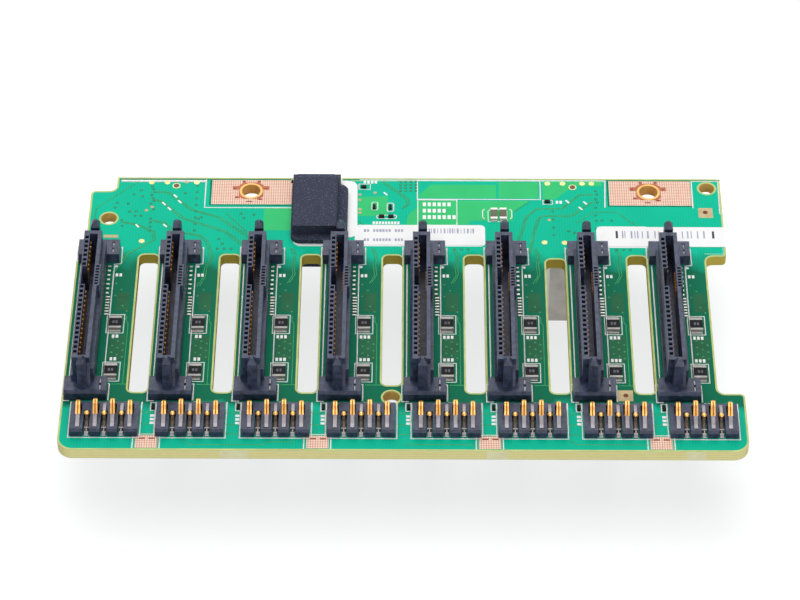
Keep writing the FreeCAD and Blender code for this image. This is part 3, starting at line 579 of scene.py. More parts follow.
@dataclass(frozen=True)
class LaminateFinish(Finish):
    """Solder mask on both faces of the board, bare laminate on its cut edges, with painted light
    and shade.
    """

    # plane: painted shade, a deeper green over the middle of the board where the housings shade
    # the mask.
    plane: Colour = (0, 114, 82)
    near_strip: Colour = (0, 190, 154)
    weave: Colour = (0, 116, 86)
    # bare: painted light, the laminate tone made paler on the near wall where the front lamp
    # falls. cut: painted shade, the same laminate darker on the other cut edges.
    bare: Colour = (255, 248, 178)
    cut: Colour = (214, 196, 92)
    cut_roughness: float = 0.62
    cut_shade: float = 0.8
    face_depth: float = 0.02
    near_wall: float = 3.0
    # Where the painted shade between the bays starts and ends along Y, then how far it fades in
    # at each end.
    shade_far_edge: float = -18.0
    shade_near_edge: float = -59.5
    far_fade: float = 5.0
    near_fade: float = 2.0
    drift: float = 1.5
    drift_grain: float = 6.0
    weave_scale: float = 0.55
    weave_bend: float = 2.0
    weave_grain: float = 9.0
    weave_share: float = 0.2
    layer_scale: float = 0.5
    layer_bend: float = 1.5
    fibre_grain: float = 1.6
    fibre_share: float = 0.3
    fibre_range: Spot = (0.1, 0.8)

    def build(self) -> bpy.types.Material:
        """Builds the mask for the faces, and the laminate's layers for the edges.

        Returns:
            The new material.
        """
        graph = Graph(self.name)
        axes = graph.add("ShaderNodeSeparateXYZ")
        graph.feed(axes, 0, graph.coordinates)
        height = axes.outputs["Z"]
        above = graph.maths("GREATER_THAN", height, -self.face_depth * MM)
        below = graph.maths("LESS_THAN", height, (BOARD_LOW.z + self.face_depth) * MM)
        face = graph.maths("MAXIMUM", above, below)
        graph.feed(graph.shader, "Base Color",
                   graph.blend(face, self.edge(graph, axes), self.mask(graph, axes)))
        graph.feed(graph.shader, "Roughness", graph.spread(
            face, self.cut_roughness, self.roughness, 0, 1))
        graph.shader.inputs["Specular IOR Level"].default_value = self.specular
        graph.relief(graph.noise(self.grain_mm, 4.0), self.relief_mm)
        return graph.material

    def mask(self, graph: Graph, axes: bpy.types.Node) -> Socket:
        """Mask colour: bright on the far strip, darker as painted shade over the middle of the
        board between the bays.

        Args:
            graph: The material's nodes.
            axes: The place on the board, split by axis.

        Returns:
            The colour's socket.
        """
        along = graph.maths("ADD", axes.outputs["Y"], graph.spread(
            graph.noise(self.drift_grain), -self.drift * MM, self.drift * MM))
        far = graph.spread(along, 0.0, 1.0, (self.shade_far_edge - self.far_fade) * MM,
                           self.shade_far_edge * MM)
        near = graph.spread(along, 1.0, 0.0, (self.shade_near_edge - self.near_fade) * MM,
                            self.shade_near_edge * MM)
        # The deeper middle tone is painted shade from the housings.
        middle = graph.blend(near, linear(self.plane), linear(self.near_strip))
        colour = graph.blend(far, middle, linear(self.colour))
        weave = graph.add("ShaderNodeTexWave", bands_direction="X")
        graph.feed(weave, "Vector", graph.coordinates)
        graph.feed(weave, "Scale", self.weave_scale / MM)
        graph.feed(weave, "Distortion", self.weave_bend)
        shade = graph.maths("MULTIPLY", weave.outputs["Fac"], graph.spread(
            graph.noise(self.weave_grain), 0.0, self.weave_share))
        return graph.blend(shade, colour, linear(self.weave))

    def edge(self, graph: Graph, axes: bpy.types.Node) -> Socket:
        """Laminate colour: pale on the near wall as painted light, olive on every other cut edge
        as painted shade, with faint layers.

        Args:
            graph: The material's nodes.
            axes: The place on the board, split by axis.

        Returns:
            The colour's socket.
        """
        layers = graph.add("ShaderNodeTexWave", bands_direction="Z")
        graph.feed(layers, "Vector", graph.coordinates)
        graph.feed(layers, "Scale", self.layer_scale / MM)
        graph.feed(layers, "Distortion", self.layer_bend)
        fibres = graph.maths("MULTIPLY", graph.noise(self.fibre_grain, 6.0),
                             layers.outputs["Fac"])
        grain = graph.spread(fibres, 0.0, self.fibre_share, *self.fibre_range)
        # Painted light and shade: the pale tone on the near wall, the darker olive on every other
        # cut edge.
        lit_near_wall = graph.maths("LESS_THAN", axes.outputs["Y"],
                              (BOARD_LOW.y + self.near_wall) * MM)
        tone = graph.blend(lit_near_wall, linear(self.cut), linear(self.bare))
        return graph.blend(grain, tone, linear(self.cut, self.cut_shade))


@dataclass(frozen=True)
class HatchFinish(Finish):
    """Bare copper under a fine square hatch."""

    pitch_mm: float = 0.46
    line_share: float = 0.3
    line: Colour = (220, 140, 112)
    cloud_grain: float = 2.0
    shades: Spot = (0.9, 1.06)

    def build(self) -> bpy.types.Material:
        """Builds pale squares between copper lines.

        Returns:
            The new material.
        """
        graph = Graph(self.name)
        axes = graph.add("ShaderNodeSeparateXYZ")
        graph.feed(axes, 0, graph.coordinates)
        lines = [graph.maths("LESS_THAN", graph.maths("FRACT", graph.maths(
            "DIVIDE", axes.outputs[axis], self.pitch_mm * MM)), self.line_share)
            for axis in ("X", "Y")]
        either = graph.maths("MAXIMUM", *lines)
        cloud = graph.spread(graph.noise(self.cloud_grain), 0.0, 1.0)
        squares = graph.blend(cloud, *[linear(self.colour, shade) for shade in self.shades])
        graph.feed(graph.shader, "Base Color", graph.blend(either, squares, linear(self.line)))
        graph.shader.inputs["Roughness"].default_value = self.roughness
        graph.shader.inputs["Metallic"].default_value = self.metallic
        graph.relief(either, self.relief_mm)
        return graph.material


@dataclass(frozen=True)
class SpeckledFinish(Finish):
    """Moulded plastic with a spark-eroded grain and pale specks."""

    speck: Colour = (150, 154, 172)
    speck_size: float = 1.7
    speck_share: float = 0.6
    speck_range: Spot = (0.6, 0.72)
    gloss_range: Spot = (0.85, 1.1)

    def build(self) -> bpy.types.Material:
        """Builds the dark plastic with its specks and pits.

        Returns:
            The new material.
        """
        graph = Graph(self.name)
        pits = graph.noise(self.grain_mm, 6.0)
        specks = graph.spread(graph.noise(self.grain_mm * self.speck_size, 2.0), 0.0,
                              self.speck_share, *self.speck_range)
        graph.feed(graph.shader, "Base Color",
                   graph.blend(specks, linear(self.colour), linear(self.speck)))
        graph.feed(graph.shader, "Roughness", graph.spread(
            pits, *[self.roughness * share for share in self.gloss_range]))
        graph.shader.inputs["Specular IOR Level"].default_value = self.specular
        graph.relief(pits, self.relief_mm, self.edge_mm)
        return graph.material


class Finishes:
    """Every finish on the board, by the part that wears it."""

    MASK = LaminateFinish("solder_mask_and_laminate", (0, 200, 160), 0.45, grain_mm=1.2,
                          relief_mm=0.004, specular=0.06)
    RIM = Finish("mask_pull_back", (200, 212, 136), 0.55, grain_mm=0.8)
    EDGE_MINT = Finish("thin_mask", (158, 238, 196), 0.45, grain_mm=0.8)
    POUR = Finish("mask_over_copper", (40, 200, 116), 0.42, swing=0.06, grain_mm=1.4)
    TRACE = Finish("mask_over_trace", (72, 182, 116), 0.42, swing=0.12, grain_mm=1.0)
    DARK_LINE = Finish("mask_over_plane_edge", (58, 150, 108), 0.4, grain_mm=1.0)
    INK = Finish("screen_print", (255, 255, 255), 0.6, swing=0.04, grain_mm=0.3,
                 specular=0.3)
    HATCH = HatchFinish("hatched_copper", (255, 234, 214), 0.55, relief_mm=0.01)
    COPPER = Finish("bare_copper", (178, 104, 78), 0.5, metallic=0.2, grain_mm=0.6)
    BROWN = Finish("dark_copper", (112, 56, 40), 0.5, metallic=0.2, grain_mm=0.4)
    TAN = Finish("tinned_square", (206, 186, 140), 0.5, grain_mm=0.6)
    RING = Finish("plated_ring", (236, 190, 112), 0.45, metallic=0.2, grain_mm=0.5)
    BORE = Finish("plated_bore", (232, 180, 100), 0.45, metallic=0.15, grain_mm=0.5)
    PALE_WALL = Finish("locating_hole_wall", (226, 196, 116), 0.55, grain_mm=0.6)
    SCAR = Finish("break_tab_scar", (255, 248, 200), 0.7, swing=0.06, grain_mm=0.5)
    DEEP_MASK = Finish("mask_over_window", (0, 98, 58), 0.45, grain_mm=0.9)
    GOLD_PAD = Finish("gold_pad", (246, 232, 160), 0.42, metallic=0.15, grain_mm=0.4)
    VIA = Finish("tented_via", (0, 116, 84), 0.45, swing=0.2, grain_mm=0.3)
    VIA_CAP = Finish("via_cap", (96, 160, 96), 0.45, swing=0.2, grain_mm=0.3)
    # Partly painted light: the bluish tint and the wide cloudy swing of both plastics stand in
    # for the lamp's reflection and lighter highlights on the tops.
    PLASTIC = Finish("moulded_receptacle", (54, 62, 86), 0.36, swing=0.55, grain_mm=0.26,
                     relief_mm=0.02, edge_mm=0.03, specular=0.32)
    TRAY_PLASTIC = Finish("moulded_tray_connector", (48, 55, 80), 0.36, swing=0.55,
                          grain_mm=0.26, relief_mm=0.02, edge_mm=0.03, specular=0.32)
    GRIP = SpeckledFinish("moulded_grip", (58, 62, 80), 0.7, grain_mm=0.16,
                          relief_mm=0.05, edge_mm=0.08, specular=0.1)
    GOLD = Finish("gold_plate", (240, 186, 110), 0.3, metallic=0.8, grain_mm=0.3,
                  relief_mm=0.003)
    GOLD_TIP = Finish("gold_contact_tip", (206, 146, 80), 0.3, metallic=0.4, grain_mm=0.2)
    # Darker amber for the lines and dots on the spring crowns.
    AMBER = Finish("dark_amber_gold", (170, 96, 26), 0.4, metallic=0.5, grain_mm=0.2)
    TIN = Finish("bright_tin", (200, 198, 192), 0.38, metallic=0.6, grain_mm=0.3,
                 relief_mm=0.01)
    SOLDER = Finish("dull_solder", (150, 148, 144), 0.45, metallic=0.5, grain_mm=0.3,
                    relief_mm=0.01)
    LOCK = Finish("lock_strip", (128, 128, 134), 0.4, metallic=0.5, grain_mm=0.3)
    SPRING = Finish("spring_strip", (134, 130, 134), 0.4, metallic=0.6, grain_mm=0.3)
    # Dull spring metal; the same dark colour is painted shadow on the floor blocks in the tray
    # channels.
    DULL_SPRING_AND_SHADE = Finish("dull_spring_and_shade", (96, 84, 76), 0.5, metallic=0.4, grain_mm=0.3)
    CERAMIC = Finish("resistor_glaze", (24, 24, 28), 0.45, grain_mm=0.4, edge_mm=0.04,
                     specular=0.08)
    CHIP = Finish("chip_mould", (30, 30, 30), 0.5, grain_mm=0.25, edge_mm=0.04,
                  specular=0.08)
    CHIP_OLIVE = Finish("olive_chip", (96, 96, 74), 0.5, grain_mm=0.4, edge_mm=0.05,
                        specular=0.3)
    PAPER = Finish("label_stock", (255, 255, 255), 0.8, swing=0.03, grain_mm=0.5,
                   specular=0.2)
    PRINT = Finish("label_print", (176, 176, 200), 0.8, swing=0.2, grain_mm=0.3)
    CODE = Finish("resistor_code", (112, 112, 120), 0.8, swing=0.2, grain_mm=0.3)
    DARK_PRINT = Finish("label_print_dark", (72, 76, 92), 0.8, swing=0.2, grain_mm=0.3)
    STEEL = Finish("cage_sheet", (172, 168, 160), 0.36, metallic=0.85, grain_mm=0.8,
                   relief_mm=0.006)
    NYLON = Finish("nylon_housing", (220, 208, 172), 0.5, swing=0.06, grain_mm=0.9,
                   edge_mm=0.15)


def dress_node(name: str, finish: Finish) -> None:
    """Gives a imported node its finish.

    Args:
        name: Name of the node.
        finish: What it wears.
    """
    materials = frame["nodes"][name].data.materials
    materials.clear()
    materials.append(finish.material())


def dress(piece: Piece, finish: Finish) -> Piece:
    """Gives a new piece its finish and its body.

    Args:
        piece: The new piece.
        finish: What it wears.

    Returns:
        The same piece.
    """
    piece.data.materials.clear()
    piece.data.materials.append(finish.material())
    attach(piece, "root")
    LOG.info("%s: %d faces", piece.name, len(piece.data.polygons))
    return piece


# ---------------------------------------------------------------- board


class Layer(Enum):
    """Heights of the thin layers on the component face, in skins of mask."""

    WINDOW = 0.4
    POUR = 0.5
    VIA = 0.8
    MASK = 1.0
    MINT = 1.2
    CAP = 1.4
    COPPER = 1.5
    SPOKE = 1.7
    PLATED = 2.0
    RING = 3.0

    @property
    def height(self) -> float:
        """How far the layer stands out of the face."""
        return SKIN * self.value


def lay_plate(name: str, outlines: Paths, layer: Layer, finish: Finish) -> None:
    """Lays flat shapes on the component face."""
    dress(Bench.plate(name, outlines, layer.height), finish)


def lay_lines(name: str, paths: Paths, width: float, layer: Layer, finish: Finish) -> None:
    """Lays lines on the component face."""
    dress(Bench.strokes(name, paths, width, layer.height), finish)


def lay_discs(name: str, spots: Path, radius: float, layer: Layer, finish: Finish,
              sides: int = 12) -> None:
    """Lays round pads on the component face."""
    dress(Bench.discs(name, spots, radius, layer.height, sides), finish)


@dataclass
class Routes:
    """Traces under the mask: on the far strip, between the bays and on the near strip."""

    width: float = 0.24
    pair_spread: float = 0.95
    pair_slant: float = 0.4
    first_pair_bay: int = 3
    edge_inset: float = 0.38
    edge_width: float = 0.5
    mint_inset: float = 0.8
    mint_width: float = 0.4
    feeds: Sequence[float] = (-28.4, -31.4, -33.9)
    single: Sequence[Path] = (
        ((-54, 37.2), (-62.4, 28.8), (-62.4, 24.6)),
        ((-36, 27.4), (-31.4, 21.6)),
        ((-9.3, 25.3), (-8.2, 24.1)),
        ((34.8, 24.8), (38.1, 28.1), (42.8, 28.1), (47.0, 23.8)),
        ((22.1, 28.0), (25.3, 31.3)),
        ((29.6, 32.6), (32.2, 35.6)),
        ((-20.4, -35.9), (-25.6, -35.9), (-26.6, -36.7), (-40.2, -36.7), (-41.4, -35.8)),
        ((48, -36.4), (33, -36.4), (31.6, -35.6)),
        ((0.6, -36.5), (13.8, -36.5)))
    double: Sequence[Path] = (
        ((-51.2, 33.8), (-48, 33.6), (-43, 28.4), (-37.5, 26.2), (-31, 20.3), (-31, 17)),
        ((-51.3, 31.5), (-49.5, 31), (-44.5, 25.8), (-36, 22), (-32.4, 18.2)),
        ((-57, 24.8), (-53.5, 23.8), (-50.4, 21.8), (-50.2, 19.4), (-55.4, 15.2),
         (-56.4, 12.6), (-57.6, 10.2)),
        ((-51, 25.2), (-48.4, 24.6), (-46.4, 22), (-41, 20.8), (-39.4, 18.8),
         (-38.4, 14.4), (-39.4, 11.4), (-39.6, 8.8), (-40.6, 6.2)),
        ((-4.4, 36.9), (0.4, 32.1), (0.7, 31.5), (0.7, 30.2), (-0.3, 29.1)),
        ((22.4, 17.6), (23.6, 22.3), (24.4, 25.8), (24.8, 26.9), (26.7, 29.0),
         (31.9, 29.2), (35.6, 33.3), (38.4, 33.3)),
        ((25.0, 15.6), (26.1, 22.3), (27.0, 25.9), (27.7, 26.9), (33.8, 26.9),
         (37.8, 31.0), (38.5, 31.0)))

    def build(self) -> None:
        """Lays the traces, then the lines along the far edge."""
        self.traces()
        self.far_edge()

    def traces(self) -> None:
        """Single traces, with every pair split into two."""
        single, double = list(self.single), list(self.double)
        for bay in BAYS[:-1]:
            left = bay_left(bay)
            if bay >= self.first_pair_bay:
                double.append([(left + 6.2, 17.2), (left + 7.0, 15.2), (left + 6.6, 12.4),
                               (left + 6.9, 9.6), (left + 5.9, 7.2)])
            single += [[(left + 6.9, -2.2), (left + 6.9, -3.6), (left + 7.3, -4.4),
                        (left + 7.3, -21.0)],
                       [(left + 5.2, -20.9), (left + 8.4, -20.9)]]
            single += [[(left + 10.6, row), (left + 13.6, row)] for row in self.feeds]
        gap = self.width * self.pair_spread
        for path in double:
            single += [[(x - gap, y - gap * self.pair_slant) for x, y in path],
                       [(x + gap, y + gap * self.pair_slant) for x, y in path]]
        lay_lines("traces", single, self.width, Layer.MASK, Finishes.TRACE)

    def far_edge(self) -> None:
        """Dark edge of the inner plane, and paler stretches beside it."""
        dark, mint = FAR - self.edge_inset, FAR - self.mint_inset
        lay_lines("plane_edge_line", [[(-58.2, dark), (-22.9, dark)],
                                      [(-12.6, dark), (64.3, dark)]],
                  self.edge_width, Layer.CAP, Finishes.DARK_LINE)
        lay_lines("far_edge_mint", [[(-11.0, mint), (2.4, mint)], [(27.8, mint), (40.6, mint)]],
                  self.mint_width, Layer.MINT, Finishes.EDGE_MINT)


@dataclass
class Vias:
    """Tented vias: in columns and a grid on the far strip, and in clusters by the bays."""

    radius: float = 0.3
    cap_share: float = 0.5
    row_bays: Sequence[int] = (5, 7)
    loose_right: Path = (
        (38.8, 34.4), (39.1, 33.4), (38.8, 31.9), (39.1, 31.0), (38.7, 29.4), (38.6, 27.1),
        (38.7, 25.5), (38.6, 23.1), (39.8, 25.6), (41.8, 25.6), (30.0, 28.3), (30.0, 25.9),
        (30.0, 23.5), (30.0, 21.3))
    loose_left: Path = (
        (-57, 25.3), (-56.8, 23.6), (-58.2, 30.4), (-56, 30.2), (-58.6, 29), (-55.6, 27.8),
        (-54.2, 27.9), (-54.4, 26.6), (-53.2, 26.6), (-55, 33), (-53.6, 34.2),
        (-53.2, 32.4), (-33, 27.3), (-32.4, 26), (-30.4, 27), (33, 22.4), (34.2, 22),
        (-44.6, 33.4), (-41.6, 25.8), (-41.0, 26.2), (-37.2, 19.8), (-36.4, 18.4),
        (-37.4, 17.0), (-36.0, 17.0), (-34.6, 17.0))

    def build(self) -> None:
        """Lays a ring and a smaller cap at every spot."""
        spots = self.strip_spots()
        for bay in BAYS:
            spots += self.bay_spots(bay)
        lay_discs("via_rings", spots, self.radius, Layer.VIA, Finishes.VIA, 10)
        lay_discs("via_caps", spots, self.radius * self.cap_share, Layer.CAP,
                  Finishes.VIA_CAP, 8)

    def strip_spots(self) -> list[Spot]:
        """Vias of the far strip.

        Returns:
            Their middles, from the board's middle.
        """
        spots = [(-51.4 + 0.3 * (step % 3), 35.4 - 0.86 * step) for step in range(9)]
        spots += [(-51.2, 25.8 - 1.2 * step) for step in range(4)]
        spots += [(-42.2, 35.6 - 1.9 * step) for step in range(8)]
        spots += self.loose_right
        spots += [(-0.8 + 1.04 * column, 37.0 - 0.9 * row) for column in range(4)
                  for row in range(4)]
        spots += self.loose_left
        return spots

    def bay_spots(self, bay: int) -> list[Spot]:
        """Vias beside one receptacle.

        Args:
            bay: Number of the bay.

        Returns:
            Their middles, from the board's middle.
        """
        left = bay_left(bay)
        spots = [(left + 5.9 + 0.9 * (step % 2), 0.6 - 1.5 * step) for step in range(3)]
        spots += [(left + 4.6 + 1.05 * (step % 3), -8.6 - 0.62 * step) for step in range(9)]
        spots += [(left + 4.3 + 1.1 * (step % 2), 6.8 - 1.7 * step) for step in range(3)]
        if bay in self.row_bays:
            spots += [(left + 6.4 + 1.35 * step, 17.0) for step in range(3)]
        return spots


@dataclass
class ScrewZone:
    """Pale squared zone round a screw hole, with its plated ring and copper spokes."""

    side: str
    x: float
    y: float
    reach: Sequence[float] = (-8.0, -4.0, 8.6, 3.3)
    bore: float = 1.95
    ring: Spot = (2.36, 1.9)
    half_dot: Spot = (0.24, 0.13)
    border_width: float = 0.34
    border: Path = ((-8.25, 3.3), (-8.25, -4.2), (8.6, -4.2))
    heart: Path = ((-2.5, -1.7), (-1.6, -2.4), (1.6, -2.4), (2.5, -1.7), (2.5, 1.7),
                   (1.5, 2.55), (-1.5, 2.55), (-2.5, 1.7))
    heat_holes: Path = ((-3.35, 0.7), (3.0, 0.7), (-1.5, 2.85), (1.5, 2.85), (-2.9, -1.9),
                        (1.85, -2.5), (-0.6, -3.15), (0.0, -3.15))
    arms: Sequence[Sequence[float]] = (
        (-3.8, 0.35, -2.4, 1.45), (2.4, 0.35, 3.6, 1.45), (-1.85, 2.5, -1.2, 3.1),
        (1.2, 2.5, 1.85, 3.1), (-3.2, -2.15, -2.2, -1.6), (1.3, -2.75, 2.4, -2.2),
        (-0.9, -3.3, 0.3, -3.0))

    def around(self, points: Path) -> list[Spot]:
        """Moves points drawn from the hole to the board's middle."""
        return [(self.x + x, self.y + y) for x, y in points]

    def patch(self, sides: Sequence[float]) -> list[Spot]:
        """A rectangle drawn from the hole."""
        x0, y0, x1, y1 = sides
        return box_of(self.x + x0, self.y + y0, self.x + x1, self.y + y1)

    def build(self) -> None:
        """Lays the zone, its copper, its plated ring, its heat holes and its border."""
        hole = ring_of(self.x, self.y, self.bore)
        rings = [ring_of(self.x, self.y, radius) for radius in self.ring]
        for part, outlines, layer, finish in (
                ("zone", [self.patch(self.reach), hole], Layer.MASK, Finishes.HATCH),
                ("copper", [self.around(self.heart), hole], Layer.COPPER, Finishes.COPPER),
                ("spokes", [self.patch(arm) for arm in self.arms], Layer.SPOKE,
                 Finishes.COPPER),
                ("ring", rings, Layer.RING, Finishes.RING)):
            lay_plate("%s_screw_%s" % (self.side, part), outlines, layer, finish)
        half_x, half_y = self.half_dot
        dot = Bench.block("dot", (-half_x, -half_y, 0), (half_x, half_y, Layer.PLATED.height))
        dress(Bench.stamp("%s_heat_holes" % self.side, dot,
                          on_board(self.around(self.heat_holes))), Finishes.BROWN)
        lay_lines("%s_zone_border" % self.side, [self.around(self.border)],
                  self.border_width, Layer.MASK, Finishes.VIA)


@dataclass
class Pads:
    """Gold test pads, tooling targets, tooling holes and bare copper dots."""

    pad_radius: float = 0.58
    target_radius: float = 0.5
    hole_radii: Spot = (0.8, 0.6)
    hole_sides: int = 24
    dot_radius: float = 0.36
    pads: Path = ((-51.6, 36.6), (-48.4, 36.6), (-42.4, 36.6), (29.1, 36.6), (32.2, 36.6),
                  (36.2, 36.6), (38.1, 36.6), (-52.6, 19.1), (28.1, 19.1), (32.1, 19.0))
    targets: Sequence[Sequence[float]] = (
        (59.4, 26.5, 62.3, 29.4), (40.9, -25.0, 43.9, -22.1), (-60.3, 20.1, -57.4, 20.9))
    target_dots: Path = ((60.8, 28.1), (42.5, -23.5))
    holes: Path = ((-46.5, 35.6), (34.2, 35.5))
    copper: Path = ((-9.1, 33.1), (-9.1, 31.5), (-9.0, 28.7), (-9.0, 27.7), (-44.5, 36.7),
                    (-51.1, 29.2), (-52.2, 28.2), (29.2, 25.7), (-6.0, 33.7))

    def build(self) -> None:
        """Lays every kind of pad."""
        lay_discs("gold_pads", self.pads, self.pad_radius, Layer.PLATED, Finishes.GOLD_PAD, 20)
        lay_plate("tooling_targets", [box_of(*sides) for sides in self.targets], Layer.MASK,
                  Finishes.TAN)
        lay_discs("target_dots", self.target_dots, self.target_radius, Layer.PLATED,
                  Finishes.BROWN, 16)
        lay_plate("tooling_hole_rings", [ring_of(x, y, radius, self.hole_sides)
                                         for x, y in self.holes for radius in self.hole_radii],
                  Layer.PLATED, Finishes.GOLD_PAD)
        lay_plate("tooling_holes", [ring_of(x, y, self.hole_radii[1], self.hole_sides)
                                    for x, y in self.holes],
                  Layer.MASK, Finishes.DULL_SPRING_AND_SHADE)
        lay_discs("copper_dots", self.copper, self.dot_radius, Layer.COPPER, Finishes.TAN)


@dataclass
class BoardFace:
    """The laminate: mask pull-back, copper areas, what is routed on it and its holes."""

    rim_width: float = 0.36
    face_slope: float = 0.9
    face_depth: float = 0.1
    weld: float = 0.001
    patch_middles: Sequence[float] = PATCH_MIDDLES
    patch_half: float = 2.1
    patch_rise: Spot = (0.5, 3.75)
    mark_rise: float = 3.0
    mark_half: float = 0.6
    mark_width: float = 0.55
    mark_shifts: Spot = (-0.88, 1.0)
    screw_bore: float = 1.9
    sleeve_half: float = 0.03
    scars: Sequence[Spot] = ((-34.4, -29.3), (15.7, 19.6), (53.4, 57.0))
    scar_depth: Spot = (-0.03, 0.05)
    scar_clear: Spot = (0.1, -0.12)
    scar_round: float = 0.02
    windows: Sequence[Sequence[float]] = ((3.9, -14.4, 7.1, -7.6), (4.6, -0.8, 7.1, 4.4))
    pours: Sequence[Path] = (
        ((3.0, 33.2), (5.4, 36.2), (18.6, 36.2), (18.6, 32.2), (3.0, 32.2)),
        ((19.1, 32.2), (27.2, 32.2), (27.2, 37.0), (19.1, 37.0)),
        ((0.4, 24.1), (0.4, 25.6), (1.0, 27.6), (2.5, 29.2), (2.5, 31.4), (22.2, 31.4),
         (25.3, 31.3), (22.0, 28.4), (21.9, 25.4), (13.6, 25.4), (12.6, 24.3), (6.0, 24.1)),
        ((-9.4, 26.7), (-3.4, 26.7), (-3.4, 32.7), (-9.4, 32.4)),
        ((-28.4, 22.4), (-22.9, 22.4), (-22.9, 28.9), (-28.4, 28.9)),
        ((28.1, 31.9), (30.6, 31.9), (34.4, 35.9), (40.2, 35.9), (40.2, 37.3), (28.1, 37.3)))

    def build(self) -> None:
        """Dresses the board and adds what is plated or routed on it."""
        dress_node("circuit_board", Finishes.MASK)
        self.pull_back()
        lay_plate("copper_pours", self.pours, Layer.POUR, Finishes.POUR)
        Routes().build()
        Vias().build()
        for side, (x, y) in zip(("left", "right"), screw_holes()):
            ScrewZone(side, x, y).build()
        self.test_patches()
        self.plane_windows()
        self.break_tabs()
        Pads().build()
        self.hole_linings()

    def pull_back(self) -> None:
        """Rim of bare laminate along every cut edge of the component face."""
        source = frame["nodes"]["circuit_board"]
        rim = source.copy()
        rim.data = source.data.copy()
        bpy.context.collection.objects.link(rim)
        rim.parent = None
        rim.matrix_world = source.matrix_world
        Bench.settle(rim)
        rim.name = "mask_pull_back_rim"
        for face in rim.data.polygons:
            face.select = not (face.normal.z > self.face_slope
                               and face.center.z > -self.face_depth * MM)
        bpy.context.tool_settings.mesh_select_mode = (False, False, True)
        bpy.ops.object.mode_set(mode="EDIT")
        bpy.ops.mesh.delete(type="FACE")
        bpy.ops.mesh.select_all(action="SELECT")
        bpy.ops.mesh.remove_doubles(threshold=self.weld * MM)
        bpy.ops.mesh.dissolve_limited(angle_limit=math.radians(1))
        bpy.ops.mesh.select_all(action="SELECT")
        bpy.ops.mesh.inset(thickness=self.rim_width * MM, use_boundary=True)
        bpy.ops.mesh.delete(type="FACE")
        bpy.ops.object.mode_set(mode="OBJECT")
        Bench.modify(rim, "SOLIDIFY", thickness=SKIN * MM, offset=1.0)
        dress(rim, Finishes.RIM)

    def test_patches(self) -> None:
        """Pale squared test patches along the near edge, with two copper marks each."""
        bottom, top = (NEAR + rise for rise in self.patch_rise)
        lay_plate("test_patches", [box_of(x - self.patch_half, bottom, x + self.patch_half, top)
                                   for x in self.patch_middles], Layer.MASK, Finishes.HATCH)
        row = NEAR + self.mark_rise
        lay_lines("test_patch_marks", [
            [(x + shift - self.mark_half, row), (x + shift + self.mark_half, row)]
            for x in self.patch_middles for shift in self.mark_shifts],
            self.mark_width, Layer.PLATED, Finishes.BROWN)

    def plane_windows(self) -> None:
        """Deeper green windows in the planes beside each receptacle."""
        lay_plate("plane_windows", [
            box_of(bay_left(bay) + x0, y0, bay_left(bay) + x1, y1)
            for bay in BAYS for x0, y0, x1, y1 in self.windows],
            Layer.WINDOW, Finishes.DEEP_MASK)

    def break_tabs(self) -> None:
        """Paler scars on the near wall where the board was parted from its panel."""
        out, into = (NEAR + MIDDLE.y + depth for depth in self.scar_depth)
        low, high = BOARD_LOW.z + self.scar_clear[0], self.scar_clear[1]
        scars = [Bench.block("scar", (x0 + MIDDLE.x, out, low), (x1 + MIDDLE.x, into, high),
                             self.scar_round) for x0, x1 in self.scars]
        dress(Bench.joined("break_tab_scars", scars), Finishes.SCAR)

    def hole_linings(self) -> None:
        """Plated sleeves in the screw holes, and pale walls in the locating holes."""
        screws = [(x, y, self.screw_bore) for x, y in screw_holes()]
        locating = [(mount["pos_m"][0] / MM - MIDDLE.x, mount["pos_m"][1] / MM - MIDDLE.y,
                     mount["dims"]["r_mm"]) for mount in frame["record"]["mounts"]
                    if mount["name"].startswith("locating_hole")]
        for name, holes, finish in (("screw_hole_sleeves", screws, Finishes.BORE),
                                    ("locating_hole_walls", locating, Finishes.PALE_WALL)):
            dress(Bench.joined(name, [self.sleeve(*hole) for hole in holes]), finish)

    def sleeve(self, x: float, y: float, radius: float) -> Piece:
        """Thin sleeve in a hole, flush with both faces.

        Args:
            x: Middle of the hole, from the board's middle.
            y: The same, towards the far edge.
            radius: Radius of the hole.

        Returns:
            The sleeve.
        """
        rings = [ring_of(x, y, radius + self.sleeve_half),
                 ring_of(x, y, radius - self.sleeve_half)]
        return Bench.plate("sleeve", rings, BOARD_HIGH.z - BOARD_LOW.z, BOARD_LOW.z)


class Mark(Enum):
    """Numbers of signs in the short printed marks."""

    TWO_SIGNS = 2
    THREE_SIGNS = 3
    FOUR_SIGNS = 4


